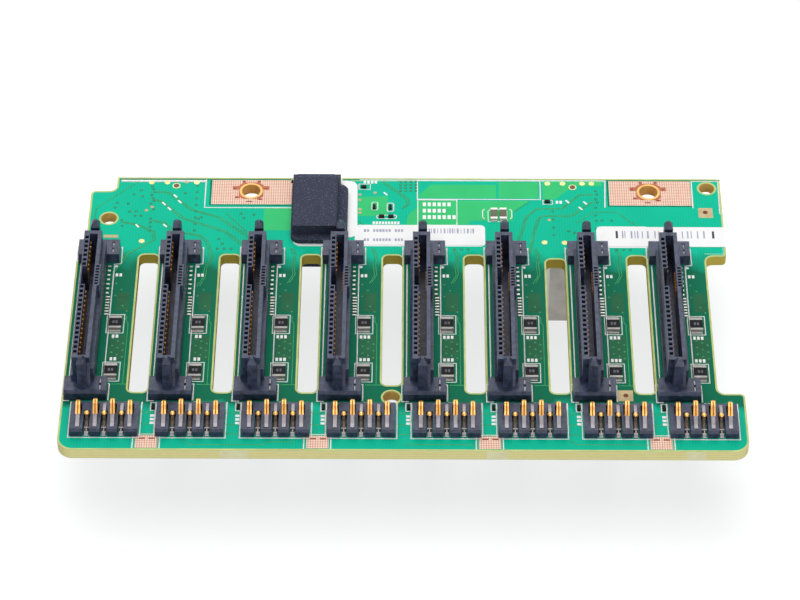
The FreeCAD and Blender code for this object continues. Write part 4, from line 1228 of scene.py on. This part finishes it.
@dataclass
class ScreenPrint:
    """White printed outlines, boxes and short plain marks."""

    line: float = 0.36
    bold_line: float = 0.5
    edge_bar: float = 0.7
    edge_bar_inset: float = 1.05
    fine_line: float = 0.12
    box_line: float = 0.4
    part_line: float = 0.3
    patch_line: float = 0.32
    height: float = 0.025
    field_share: float = 0.8
    sign_width: float = 0.5
    sign_height: float = 0.85
    sign_pitch: float = 1.5
    foot_left: float = -22.5
    foot_near: float = 19.6
    foot_width: float = 11.35
    short_mark_bays: int = 2
    resistor_rows: Spot = (-4.45, -17.55)
    strip_boxes: Sequence[Sequence[float]] = ((2.6, 31.8, 27.6, 37.4), (2.7, 24.1, 10.6, 31.6))
    part_boxes: Sequence[Sequence[float]] = (
        (-9.3, 34.7, -7.0, 36.3), (-5.6, 26.0, -1.6, 27.0, 0.4), (-6.6, 28.5, -5.4, 30.9, 0.4),
        (-3.5, 28.1, -2.2, 30.6, 0.4), (28.1, 30.4, 30.0, 31.6))
    pair_box: Path = ((16.9, 25.2), (20.7, 25.2), (20.7, 28.3), (20.2, 28.8), (17.4, 28.8),
                      (16.9, 28.3))
    pair_brackets: Sequence[Path] = (
        ((16.2, 28.9), (15.8, 28.4), (15.8, 26.4), (16.2, 26.0)),
        ((21.3, 28.9), (21.7, 28.4), (21.7, 26.4), (21.3, 26.0)))
    far_edge: Sequence[Path] = (
        ((-22.9, 29.1), (-40.5, 29.1), (-40.5, 37.6)),
        ((40.9, 37.6), (40.6, 29.5)),
        ((58.4, 29.4), (58.5, 37.45), (63.9, 37.45), (63.7, 27.8), (64.4, 27.7)))
    slanted: Path = (
        (-46.6, 32.5), (-45.6, 30.8), (-48.8, 30.2), (-47.6, 28.7), (-53.8, 23.6),
        (-48.2, 23.7), (-3.9, 33.4), (33.0, 31.2), (35.6, 29.2), (36.6, 30.8))

    def build(self) -> None:
        """Prints the outlines round the parts and along the edges."""
        self.edge_lines()
        self.boxes()
        self.label_fields()
        self.receptacle_outlines()
        self.tray_outlines()
        self.grip_field()
        self.marks()

    def print_lines(self, name: str, paths: Paths, width: float, closed: bool = False) -> None:
        """Prints a set of lines as one piece."""
        dress(Bench.strokes(name, paths, width, self.height, closed), Finishes.INK)

    def print_shapes(self, name: str, outlines: Paths) -> None:
        """Prints a set of solid shapes as one piece."""
        dress(Bench.plate(name, outlines, self.height), Finishes.INK)

    def edge_lines(self) -> None:
        """Lines along the far edge and beside the screw zones."""
        self.print_lines("far_edge_print", self.far_edge, self.line)
        self.print_lines("far_print_line", [[(-9.2, 37.65), (40.9, 37.65)]], self.bold_line)
        row = FAR - self.edge_bar_inset
        self.print_lines("left_edge_print", [[(-57.8, row), (-40.4, row)]], self.edge_bar)
        self.print_lines("corner_print", [[(59.9, 15.9), (63.7, 15.9), (63.7, 23.6)]],
                         self.fine_line)

    def boxes(self) -> None:
        """Boxes and brackets on the far strip."""
        self.print_lines("far_strip_boxes", [box_of(*sides) for sides in self.strip_boxes],
                         self.box_line, True)
        self.print_lines("part_boxes", [self.pair_box, *[
            box_of(*sides) for sides in self.part_boxes]], self.part_line, True)
        self.print_lines("part_brackets", self.pair_brackets, self.line)

    def label_fields(self) -> None:
        """White fields that the paper labels lie on."""
        fields = []
        for name, right in (("left_label", 0.45), ("right_label", -15.0)):
            low, high = (corner - MIDDLE for corner in corners_of(name))
            fields.append(box_of(low.x - 0.6, low.y - 0.3, high.x + right, high.y + 0.25, 1.0))
        dress(Bench.plate("label_fields", fields, self.height * self.field_share),
              Finishes.INK)

    def receptacle_outlines(self) -> None:
        """Outline of each receptacle and box of each bay resistor."""
        outlines: list[list[Spot]] = []
        resistors: list[list[Spot]] = []
        for bay in BAYS:
            x = bay_left(bay)
            outlines += [
                [(x - 3.9, 12.6), (x - 3.9, 17.6)],
                [(x - 3.05, 12.6), (x - 3.05, -20.6), (x - 3.95, -20.6), (x - 3.95, -25.3),
                 (x - 2.6, -25.3)],
                [(x + 4.8, 17.4), (x + 4.9, 12.6), (x + 3.55, 12.4), (x + 3.55, -20.7),
                 (x + 4.75, -20.8), (x + 4.75, -25.2)]]
            resistors += [box_of(x + 3.15, y - 2.55, x + 6.5, y + 2.55)
                          for y in self.resistor_rows]
        self.print_lines("receptacle_outlines", outlines, self.line)
        self.print_lines("resistor_boxes", resistors, self.part_line, True)

    def tray_outlines(self) -> None:
        """Outlines of the tray connectors, of the chips beside them and of the patches."""
        outlines, chips = [], []
        for bay in BAYS:
            x = middle_of(TRAY_HOUSING % bay).x - MIDDLE.x
            outlines.append([(x - 6.75, -25.6), (x - 6.75, -34.95), (x + 6.75, -34.95),
                             (x + 6.75, -25.6)])
            if bay > BAYS[0]:
                chips.append(box_of(x - 7.75, -27.85, x - 6.65, -25.75))
        self.print_lines("tray_connector_outlines", outlines, self.line)
        self.print_lines("tray_chip_boxes", chips, self.line, True)
        self.print_lines("test_patch_print", [
            [(x - 2.6, -37.7), (x - 2.6, -34.0), (x + 2.5, -34.0), (x + 2.5, -37.7)]
            for x in PATCH_MIDDLES], self.patch_line)

    def grip_field(self) -> None:
        """Solid printed field along the near and right sides of the grip's foot."""
        near, right = FAR - self.foot_near, self.foot_left + self.foot_width
        self.print_shapes("grip_field", [[
            (self.foot_left, 19.8), (-22.1, 18.5), (-21.1, 17.8), (-12.5, 17.8), (-12.5, 20.3),
            (-10.8, 20.4), (-9.8, 20.9), (-9.45, 21.9), (-9.6, 35.9), (-10.2, 36.9),
            (-11.2, 37.25), (-13.3, 37.4), (-13.3, 36.4), (right - 0.3, 35.0),
            (right - 0.3, near + 2.2), (right - 2.2, near + 0.3), (-20.3, near + 0.3)]])

    def signs(self, x: float, y: float, mark: Mark) -> list[list[Spot]]:
        """A short row of plain signs, centred on a spot.

        Args:
            x: Middle of the row.
            y: The same, towards the far edge.
            mark: How many signs it has.

        Returns:
            Outlines of the signs.
        """
        pitch = self.sign_width * self.sign_pitch
        start = x - pitch * (mark.value - 1) / 2
        half_x, half_y = self.sign_width / 2, self.sign_height / 2
        return [box_of(start + pitch * index - half_x, y - half_y,
                       start + pitch * index + half_x, y + half_y)
                for index in range(mark.value)]

    def bay_marks(self, bay: int) -> list[list[Spot]]:
        """Marks beside one receptacle and the chips in front of it.

        Args:
            bay: Number of the bay.

        Returns:
            Outlines of the marks.
        """
        x = bay_left(bay)
        plates: list[list[Spot]] = []
        mark = Mark.TWO_SIGNS if bay <= self.short_mark_bays else Mark.THREE_SIGNS
        for y in (-7.9, -14.1):
            plates += self.signs(x + 5.0, y, mark)
        plates += self.signs(x + 4.6, 9.3, Mark.TWO_SIGNS)
        plates.append(ring_of(x + 3.95, 11.8, 0.35, 12))
        plates += self.signs(x + 5.6, -25.9, Mark.TWO_SIGNS)
        if bay > BAYS[0]:
            plates += [box_of(x - 3.1, -31.4 + step * 0.95, x - 2.3, -30.8 + step * 0.95)
                       for step in range(3)]
        return plates

    def marks(self) -> None:
        """Short plain marks beside the parts, and rows of them in the print box."""
        plates: list[list[Spot]] = []
        for bay in BAYS:
            plates += self.bay_marks(bay)
        for row, signs in ((25.9, 7), (27.8, 5), (29.7, 6)):
            plates += [box_of(3.7 + index, row, 4.35 + index, row + 1.1)
                       for index in range(signs)]
        plates += [box_of(-6.4 + 0.62 * index, 24.3, -5.95 + 0.62 * index, 25.1)
                   for index in range(9)]
        plates += self.signs(-7.0, 36.9, Mark.FOUR_SIGNS) + self.signs(31.3, 31.0, Mark.TWO_SIGNS)
        plates += [[(x - 0.45, y + 0.3), (x + 0.25, y - 0.55), (x + 0.5, y - 0.3),
                    (x - 0.2, y + 0.55)] for x, y in self.slanted]
        self.print_shapes("printed_marks", plates)


# ---------------------------------------------------------------- parts on the board


@dataclass
class DriveReceptacle:
    """One drive receptacle: housing, contacts, contact tips and solder tails."""

    bay: int
    pitch: float = 1.27
    port_pitch: float = 0.8
    port_start: float = 8.3
    contact_half: float = 0.25
    places: Sequence[int] = (*range(7), *range(11, 26))
    fine_places: Sequence[int] = tuple(range(7))
    tail_inset: float = 0.2
    fine_tail_start: float = 8.9
    tip_level: Spot = (6.2, 6.6)
    tip_round: float = 0.07
    lock_x: float = 3.3
    lock_inset: float = 1.4
    bridge_half: Spot = (0.24, 0.33)
    bridge_height: float = 0.5
    ear_heights: Sequence[float] = (2.4, 2.2)

    @cached_property
    def plane(self) -> float:
        """Mating plane, between the two walls of the slot."""
        low, high = corners_of(HOUSING % self.bay)
        return (low.x + high.x) / 2 - PLANE_INSET

    @cached_property
    def first(self) -> float:
        """Middle of the contact nearest the far edge."""
        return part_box("drive_connector_contacts_%d" % self.bay)[1][1] / MM - self.contact_half

    def build(self) -> None:
        """Dresses the nodes and adds the tips, the tails and the lock bridges."""
        dress_node(HOUSING % self.bay, Finishes.PLASTIC)
        dress_node("drive_connector_contacts_%d" % self.bay, Finishes.GOLD)
        self.tails()
        self.tips()
        self.bridges()

    def row(self, name: str, sides: Spot, wide: float, level: Spot, bevel: float,
            offsets: Iterable[float]) -> Piece:
        """Row of small rounded blocks along the receptacle.

        Args:
            name: Name of the row.
            sides: Left and right sides, from the mating plane.
            wide: Size of each block along the row.
            level: Bottom and top of each block.
            bevel: Width of the rounded edges.
            offsets: Distance of each block from the first contact, towards the near end.

        Returns:
            The joined row.
        """
        block = Bench.block(name, (self.plane + sides[0], -wide / 2, level[0]),
                            (self.plane + sides[1], wide / 2, level[1]), bevel)
        return Bench.stamp(name, block, [(0, self.first - step, 0) for step in offsets])

    def tails(self) -> None:
        """Solder tails of both rows, along the right side."""
        upper = self.row("upper_tails", (2.35, 2.98), 0.42, (0, 0.34), 0.07,
                         [self.tail_inset + self.pitch * place for place in self.fine_places])
        fine = self.row("fine_tails", (2.45, 3.3), 0.3, (0, 0.3), 0.05,
                        [self.fine_tail_start + self.port_pitch * place
                         for place in self.fine_places])
        dress(Bench.joined("receptacle_%d_tails" % self.bay, [upper, fine]), Finishes.TIN)

    def tips(self) -> None:
        """Rounded gold ends of the contacts, proud of both walls of the slot."""
        wall = self.row("wall_tips", (-0.82, -0.55), 0.34, self.tip_level, self.tip_round,
                        [self.pitch * place for place in self.places])
        port = self.row("port_tips", (0.54, 0.78), 0.26, self.tip_level, self.tip_round,
                        [self.port_start + self.port_pitch * place
                         for place in self.fine_places])
        dress(Bench.joined("receptacle_%d_tips" % self.bay, [wall, port]), Finishes.GOLD_TIP)

    def bridges(self) -> None:
        """Plastic bridge over the middle of each board lock."""
        low, high = corners_of("board_locks")
        x, (half_x, half_y) = self.plane + self.lock_x, self.bridge_half
        bars = [Bench.block("bar", (x - half_x, y - half_y, top - self.bridge_height),
                            (x + half_x, y + half_y, top))
                for y, top in zip((high.y - self.lock_inset, low.y + self.lock_inset),
                                  self.ear_heights)]
        dress(Bench.joined("receptacle_%d_lock_bridges" % self.bay, bars), Finishes.PLASTIC)


@dataclass
class TrayConnector:
    """One tray spring connector with its bent springs, in seven places.

    Each profile below is a row of bends: distance from the connector's front, then height.
    """

    bay: int
    pitch: float = 1.64
    thickness: float = 0.22
    strip_round: float = 0.05
    weld: float = 0.001
    dome_squash: float = 0.85
    raised_places: Sequence[int] = (2, 4)
    raise_by: float = 0.4
    # Lift and path of the darker amber lines on the crowns.
    amber_lift: float = 0.09
    arm: Path = ((0.75, 1.85), (1.6, 1.95), (2.4, 2.3), (3.3, 2.75))
    dark_amber: Path = ((6.5, 2.72), (6.8, 1.45), (6.9, 0.55))
    strip: Path = ((1.4, 0.62), (2.4, 0.8), (3.2, 1.0), (3.6, 1.9))
    neck: Path = ((1.5, 0.7), (0.85, 0.5))
    foot: Path = ((0.9, 0.5), (0.5, 0.35), (0.2, 0.16), (-0.05, 0.13))
    blade: Path = ((4.4, 2.3), (5.2, 2.34), (6.0, 2.28), (6.6, 2.15))

    @cached_property
    def front(self) -> float:
        """Front face of the housing."""
        return corners_of(TRAY_HOUSING % self.bay)[0].y

    def build(self) -> None:
        """Dresses the housing and replaces the plain springs with curved ones."""
        dress_node(TRAY_HOUSING % self.bay, Finishes.TRAY_PLASTIC)
        low, high = corners_of(TRAY_HOUSING % self.bay)
        arms, plain, gold, amber_bits, strips_and_shade_floors = [], [], [], [], []
        for place in range(7):
            x = (low.x + high.x) / 2 + self.pitch * (place - 3)
            if place % 2 == 0:
                crown = self.crown(self.raise_by if place in self.raised_places else 0.0)
                arms.append(self.bent("arm", x, self.arm, 0.8, 0.8))
                gold.append(self.bent("crown", x, crown, 0.95, 0.72))
                amber_bits += self.amber_marks(x, crown)
            else:
                gold.append(self.dome(x, 4.0, 2.2, 0.56))
                strips_and_shade_floors.append(self.bent("strip", x, self.strip, 0.6, 0.6))
                plain += self.low_spring(x)
                if place > 1:
                    plain.append(self.bent("blade", x, self.blade, 0.67, 0.67))
            # Dark floor block under each channel: painted shadow where the channel lies in shade,
            # hiding the green board below.
            strips_and_shade_floors.append(Bench.block("floor", (x - 0.5, self.front + 0.6, 0),
                                    (x + 0.5, self.front + 5.0, 0.3)))
        main_piece = dress(Bench.joined("tray_%d_spring_arms" % self.bay, arms + plain),
                           Finishes.SPRING)
        for name, pieces, finish in (("crowns", gold, Finishes.GOLD),
                                     ("dark_amber", amber_bits, Finishes.AMBER),
                                     ("strips_and_shade_floors", strips_and_shade_floors, Finishes.DULL_SPRING_AND_SHADE)):
            dress(Bench.joined("tray_%d_spring_%s" % (self.bay, name), pieces), finish)
        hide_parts("tray_connector_springs_%d" % self.bay)

    @staticmethod
    def crown(lift: float) -> list[Spot]:
        """Profile of a high spring's gold crown; the two inner ones stand higher."""
        return [(3.2, 2.72), (4.0, 3.2 + lift * 0.5), (4.7, 3.68 + lift), (5.3, 4.0 + lift),
                (5.85, 3.75 + lift), (6.35, 2.8), (6.65, 1.5), (6.75, 0.6)]

    def amber_marks(self, x: float, crown: Path) -> list[Piece]:
        """Darker amber lines along a crown, and the dome at its foot.

        Args:
            x: Middle of the spring.
            crown: Profile of its crown.

        Returns:
            The three pieces.
        """
        rise = [(far, level + self.amber_lift) for far, level in crown[:4]]
        return [self.bent("line", x, rise, 0.24, 0.24),
                self.bent("line", x, self.dark_amber, 0.16, 0.2),
                self.dome(x, 6.95, 0.55, 0.24)]

    def low_spring(self, x: float) -> list[Piece]:
        """Crossbar, neck and soldered foot of a low spring.

        Args:
            x: Middle of the spring.

        Returns:
            The three pieces.
        """
        bar = Bench.block("crossbar", (x - 0.48, self.front + 1.35, 0.62),
                          (x + 0.48, self.front + 1.65, 0.92), self.strip_round)
        return [bar, self.bent("neck", x, self.neck, 0.3, 0.3),
                self.bent("foot", x, self.foot, 0.8, 0.8)]

    def bent(self, name: str, x: float, profile: Path, wide: float, narrow: float) -> Piece:
        """Bends a strip along a profile.

        Args:
            name: Name of the strip.
            x: Its middle.
            profile: Distance from the connector's front and height of each bend.
            wide: Width at the first point.
            narrow: Width at the last point.

        Returns:
            The strip with its thickness.
        """
        Bench.clear()
        y, z = profile[0]
        bpy.ops.mesh.primitive_plane_add(size=wide * MM, location=(
            x * MM, (self.front + y) * MM, z * MM))
        piece = bpy.context.object
        piece.name = name
        bpy.context.tool_settings.mesh_select_mode = (True, False, False)
        bpy.ops.object.mode_set(mode="EDIT")
        bpy.ops.mesh.select_all(action="SELECT")
        bpy.ops.transform.resize(value=(1, 0, 1), center_override=piece.location)
        bpy.ops.mesh.remove_doubles(threshold=self.weld * MM)
        shrink = (narrow / wide) ** (1 / (len(profile) - 1))
        for (y0, z0), (y1, z1) in zip(profile, profile[1:]):
            bpy.ops.mesh.extrude_region_move(TRANSFORM_OT_translate={
                "value": (0, (y1 - y0) * MM, (z1 - z0) * MM)})
            bpy.ops.transform.resize(value=(shrink, 1, 1), center_override=(
                x * MM, (self.front + y1) * MM, z1 * MM))
        bpy.ops.mesh.select_all(action="SELECT")
        bpy.ops.mesh.normals_make_consistent(inside=False)
        bpy.ops.object.mode_set(mode="OBJECT")
        Bench.settle(piece)
        Bench.modify(piece, "SOLIDIFY", thickness=self.thickness * MM, offset=0.0)
        return Bench.modify(piece, "BEVEL", width=self.strip_round * MM, segments=1,
                            limit_method="ANGLE")

    def dome(self, x: float, y: float, level: float, radius: float) -> Piece:
        """Low round dome of a spring, at a distance from the connector's front.

        Args:
            x: Its middle.
            y: Distance from the connector's front.
            level: Height of its middle.
            radius: Its radius.

        Returns:
            The dome.
        """
        Bench.clear()
        bpy.ops.mesh.primitive_uv_sphere_add(
            segments=12, ring_count=6, radius=radius * MM,
            location=(x * MM, (self.front + y) * MM, level * MM))
        piece = bpy.context.object
        piece.scale = (1.0, 1.0, self.dome_squash)
        Bench.settle(piece)
        bpy.ops.object.shade_smooth()
        return piece


@dataclass
class SolderedParts:
    """Board locks, bay resistors and chip parts."""

    resistor_width: float = 2.45
    resistor_half: float = 1.1
    pad_half: float = 1.15
    pad_reach: Spot = (1.5, 2.25)
    pad_height: float = 0.16
    pad_round: float = 0.07
    code_sides: Sequence[Spot] = ((-0.5, -0.1), (0.1, 0.5))
    code_half: float = 0.35
    code_height: float = 0.015
    chip_width: float = 1.4
    cap_reach: float = 0.55
    cap_skin: float = 0.02
    solder_reach: float = 0.35
    solder_inset: float = 0.1
    solder_height: float = 0.2
    dressing: Sequence[tuple[str, Finish]] = (
        ("board_locks", Finishes.LOCK), ("bay_resistor_bodies", Finishes.CERAMIC),
        ("bay_resistor_caps", Finishes.SOLDER), ("small_chip_parts", Finishes.CHIP),
        ("large_chip_pair", Finishes.CHIP_OLIVE))

    def build(self) -> None:
        """Dresses the small parts and adds their solder."""
        for name, finish in self.dressing:
            dress_node(name, finish)
        self.resistor_pads()
        self.pair_caps()

    def resistor_pads(self) -> None:
        """Solder pads beyond both ends of every bay resistor, and a plain mark on top."""
        low, high = corners_of("bay_resistor_bodies")
        pitch = (high.x - low.x - self.resistor_width) / (len(BAYS) - 1)
        places = [(low.x + self.resistor_width / 2 + pitch * bay, y, 0)
                  for bay in range(len(BAYS))
                  for y in (high.y - self.resistor_half, low.y + self.resistor_half)]
        start, end = self.pad_reach
        pads = [Bench.stamp("pads", Bench.block(
            "pad", (-self.pad_half, y0, 0), (self.pad_half, y1, self.pad_height),
            self.pad_round), places) for y0, y1 in ((start, end), (-end, -start))]
        dress(Bench.joined("resistor_solder", pads), Finishes.SOLDER)
        codes = [Bench.stamp("codes", Bench.block(
            "code", (x0, -self.code_half, high.z),
            (x1, self.code_half, high.z + self.code_height)), places)
            for x0, x1 in self.code_sides]
        dress(Bench.joined("resistor_marks", codes), Finishes.CODE)

    def pair_caps(self) -> None:
        """Tinned ends and solder of the two larger chips."""
        low, high = corners_of("large_chip_pair")
        caps = []
        for x in (low.x, high.x - self.chip_width):
            for y, sign in ((low.y, -1), (high.y, 1)):
                ends = sorted((y - sign * self.cap_reach, y + sign * self.cap_skin))
                caps.append(Bench.block("cap", (x - self.cap_skin, ends[0], 0), (
                    x + self.chip_width + self.cap_skin, ends[1], high.z + self.cap_skin),
                    0.06))
                ends = sorted((y, y + sign * self.solder_reach))
                caps.append(Bench.block("solder", (x + self.solder_inset, ends[0], 0), (
                    x + self.chip_width - self.solder_inset, ends[1], self.solder_height),
                    0.05))
        dress(Bench.joined("large_chip_caps", caps), Finishes.TIN)


@dataclass
class PaperLabels:
    """Two paper labels with plain grey bars in place of print."""

    ink: float = 0.012
    block_pitch: float = 0.62
    block_size: Spot = (0.45, 0.75)
    blocks: Sequence[int] = (0, 1, *range(3, 9), 10, 11, 12)
    left_start: float = 14.2
    left_gap: float = 0.08
    left_widths: Sequence[float] = (0.3, 0.15, 0.4, 0.15, 0.22, 0.35, 0.15, 0.3)
    left_drop: Spot = (2.3, 0.9)
    right_drop: Spot = (3.3, 1.2)
    right_dark: Sequence[Spot] = ((0.13, 0.45), (0.9, 0.45))
    right_pale: Sequence[Spot] = (
        (0.18, 0.3), (0.2, 0.2), (0.25, 0.35), (0.28, 0.2), (0.3, 0.3), (0.34, 0.2),
        (0.38, 0.35), (0.44, 0.25), (0.47, 0.2), (0.66, 0.2), (0.7, 0.3), (0.73, 0.2),
        (0.78, 0.25), (0.83, 0.3))

    def build(self) -> None:
        """Dresses both labels and prints their bars."""
        for name in ("left_label", "right_label"):
            dress_node(name, Finishes.PAPER)
        self.left_bars()
        self.right_bars()

    @staticmethod
    def sheet(name: str) -> tuple[Vector, ...]:
        """Corners of a label, from the board's middle."""
        shift = Vector((MIDDLE.x, MIDDLE.y, 0))
        return tuple(corner - shift for corner in corners_of(name))

    def ink_bars(self, name: str, bars: Paths, level: float, finish: Finish) -> None:
        """Prints bars on top of a label."""
        dress(Bench.plate(name, bars, self.ink, level), finish)

    def left_bars(self) -> None:
        """Two rows of pale blocks, and a row of upright bars beside them."""
        low, high = self.sheet("left_label")
        wide, tall = self.block_size
        starts = [low.x + 1.2 + self.block_pitch * index for index in self.blocks]
        self.ink_bars("left_label_rows", [
            box_of(x, y, x + wide, y + tall) for y in (low.y + 1.1, high.y - 1.9)
            for x in starts], high.z, Finishes.PRINT)
        bars, x, widths = [], low.x + self.left_start, self.left_widths
        bottom, top = (high.y - drop for drop in self.left_drop)
        for index in range(2 * len(widths)):
            width = widths[index % len(widths)]
            bars.append(box_of(x, bottom, x + width, top))
            x += width + widths[(index * 3 + 1) % len(widths)] + self.left_gap
        self.ink_bars("left_label_bars", bars, high.z, Finishes.PRINT)

    def right_bars(self) -> None:
        """A wide row of upright bars of uneven width, with a dark one at each end."""
        low, high = self.sheet("right_label")
        bottom, top = (high.y - drop for drop in self.right_drop)
        for name, bars, finish in (("right_label_bars", self.right_pale, Finishes.PRINT),
                                   ("right_label_dark_bars", self.right_dark,
                                    Finishes.DARK_PRINT)):
            starts = [(low.x + share * (high.x - low.x), width) for share, width in bars]
            self.ink_bars(name, [box_of(x, bottom, x + width, top) for x, width in starts],
                          high.z, finish)


@dataclass
class RearSide:
    """What hangs under the far strip, and the grip over its edge."""

    dressing: Sequence[tuple[str, Finish]] = (
        ("edge_grip", Finishes.GRIP), ("signal_connector_cage", Finishes.STEEL),
        ("signal_port_insert_lower", Finishes.PLASTIC),
        ("signal_port_insert_upper", Finishes.PLASTIC),
        ("power_connector_housing", Finishes.NYLON), ("power_connector_pins", Finishes.TIN),
        ("bay_controller_chip", Finishes.CHIP))

    def build(self) -> None:
        """Dresses the grip, both rear connectors and the controller chip."""
        for name, finish in self.dressing:
            dress_node(name, finish)


# ---------------------------------------------------------------- studio


@dataclass
class Studio:
    """Pale floor, soft lamps and the camera, which looks at the whole board."""

    lens: float = 148.45
    sensor: float = 36.0
    stand: Sequence[float] = (-7.32, -496.19, 452.87)
    pitch: float = 44.27
    yaw: float = -0.3043
    roll: float = 0.0213
    clip: Spot = (0.01, 20.0)
    grey_light: float = 0.3
    floor_size: float = 6.0
    floor_gap: float = 0.0002
    floor_glow: float = 0.72
    floor_roughness: float = 0.9
    floor_specular: float = 0.1
    floor_colour: Sequence[float] = (0.4, 0.4, 0.405, 1)
    lamps: Sequence[tuple[str, Sequence[float], float, float]] = (
        ("back_softbox", (-0.2, 0.7, 0.95), 1.2, 9.0),
        ("top_softbox", (0.1, 0.0, 1.3), 1.0, 5.0),
        ("front_fill", (0.25, -1.3, 0.35), 0.9, 6.0))

    def build(self) -> None:
        """Sets the view transform, the world, the floor, the lamps and the camera."""
        bpy.context.scene.view_settings.view_transform = "Standard"
        self.world()
        self.floor()
        for lamp in self.lamps:
            self.lamp(*lamp)
        self.camera()

    @staticmethod
    def seen(nodes: bpy.types.Nodes, links: bpy.types.NodeLinks) -> Socket:
        """One where the camera, a reflection or a clear body looks; otherwise nought.

        Args:
            nodes: Nodes of the world or material.
            links: Their links.

        Returns:
            The socket with that number.
        """
        path = nodes.new("ShaderNodeLightPath")
        total = path.outputs["Is Camera Ray"]
        for name in ("Is Glossy Ray", "Is Transmission Ray"):
            larger = nodes.new("ShaderNodeMath")
            larger.operation = "MAXIMUM"
            links.new(total, larger.inputs[0])
            links.new(path.outputs[name], larger.inputs[1])
            total = larger.outputs[0]
        return total

    def world(self) -> None:
        """White where it is seen, and a soft grey light elsewhere."""
        world = bpy.data.worlds.new("studio")
        bpy.context.scene.world = world
        world.use_nodes = True
        nodes, links = world.node_tree.nodes, world.node_tree.links
        ground = nodes["Background"]
        ground.inputs["Color"].default_value = (1, 1, 1, 1)
        strength = nodes.new("ShaderNodeMapRange")
        links.new(self.seen(nodes, links), strength.inputs["Value"])
        strength.inputs["To Min"].default_value = self.grey_light
        strength.inputs["To Max"].default_value = 1.0
        links.new(strength.outputs["Result"], ground.inputs["Strength"])

    def floor(self) -> None:
        """Pale floor that keeps the board's shadow."""
        Bench.clear()
        bpy.ops.mesh.primitive_plane_add(size=self.floor_size, location=(
            0, 0, CAD_BOX[0].z - self.floor_gap))
        floor = bpy.context.object
        floor.name = "floor"
        graph = Graph("pale_floor")
        for socket, value in (("Base Color", self.floor_colour),
                              ("Roughness", self.floor_roughness),
                              ("Specular IOR Level", self.floor_specular),
                              ("Emission Color", (1, 1, 1, 1))):
            graph.feed(graph.shader, socket, value)
        graph.feed(graph.shader, "Emission Strength", graph.maths(
            "MULTIPLY", self.seen(graph.nodes, graph.links), self.floor_glow))
        floor.data.materials.append(graph.material)

    @staticmethod
    def lamp(name: str, place: Sequence[float], size: float, power: float) -> None:
        """Adds a square lamp that faces the board.

        Args:
            name: Name of the lamp.
            place: Where it stands, in metres.
            size: Length of its side, in metres.
            power: Its power, in watts.
        """
        Bench.clear()
        bpy.ops.object.light_add(type="AREA", location=place)
        lamp = bpy.context.object
        lamp.name = name
        lamp.data.size = size
        lamp.data.energy = power
        aim = MIDDLE * MM - Vector(place)
        lamp.rotation_euler = aim.to_track_quat("-Z", "Y").to_euler()

    def camera(self) -> None:
        """Adds the camera that looks down along the board."""
        Bench.clear()
        bpy.ops.object.camera_add(location=[part * MM for part in self.stand])
        camera = bpy.context.object
        camera.rotation_euler = [math.radians(turn) for turn in (
            90 - self.pitch, self.roll, -self.yaw)]
        camera.data.sensor_width = self.sensor
        camera.data.lens = self.lens
        camera.data.clip_start, camera.data.clip_end = self.clip
        bpy.context.scene.camera = camera


def main() -> None:
    """Builds every sub-assembly in order."""
    logging.basicConfig(level=logging.INFO, format="%(message)s")
    Studio().build()
    BoardFace().build()
    ScreenPrint().build()
    for bay in BAYS:
        DriveReceptacle(bay).build()
        TrayConnector(bay).build()
    SolderedParts().build()
    PaperLabels().build()
    RearSide().build()


if __name__ == "__main__":
    main()
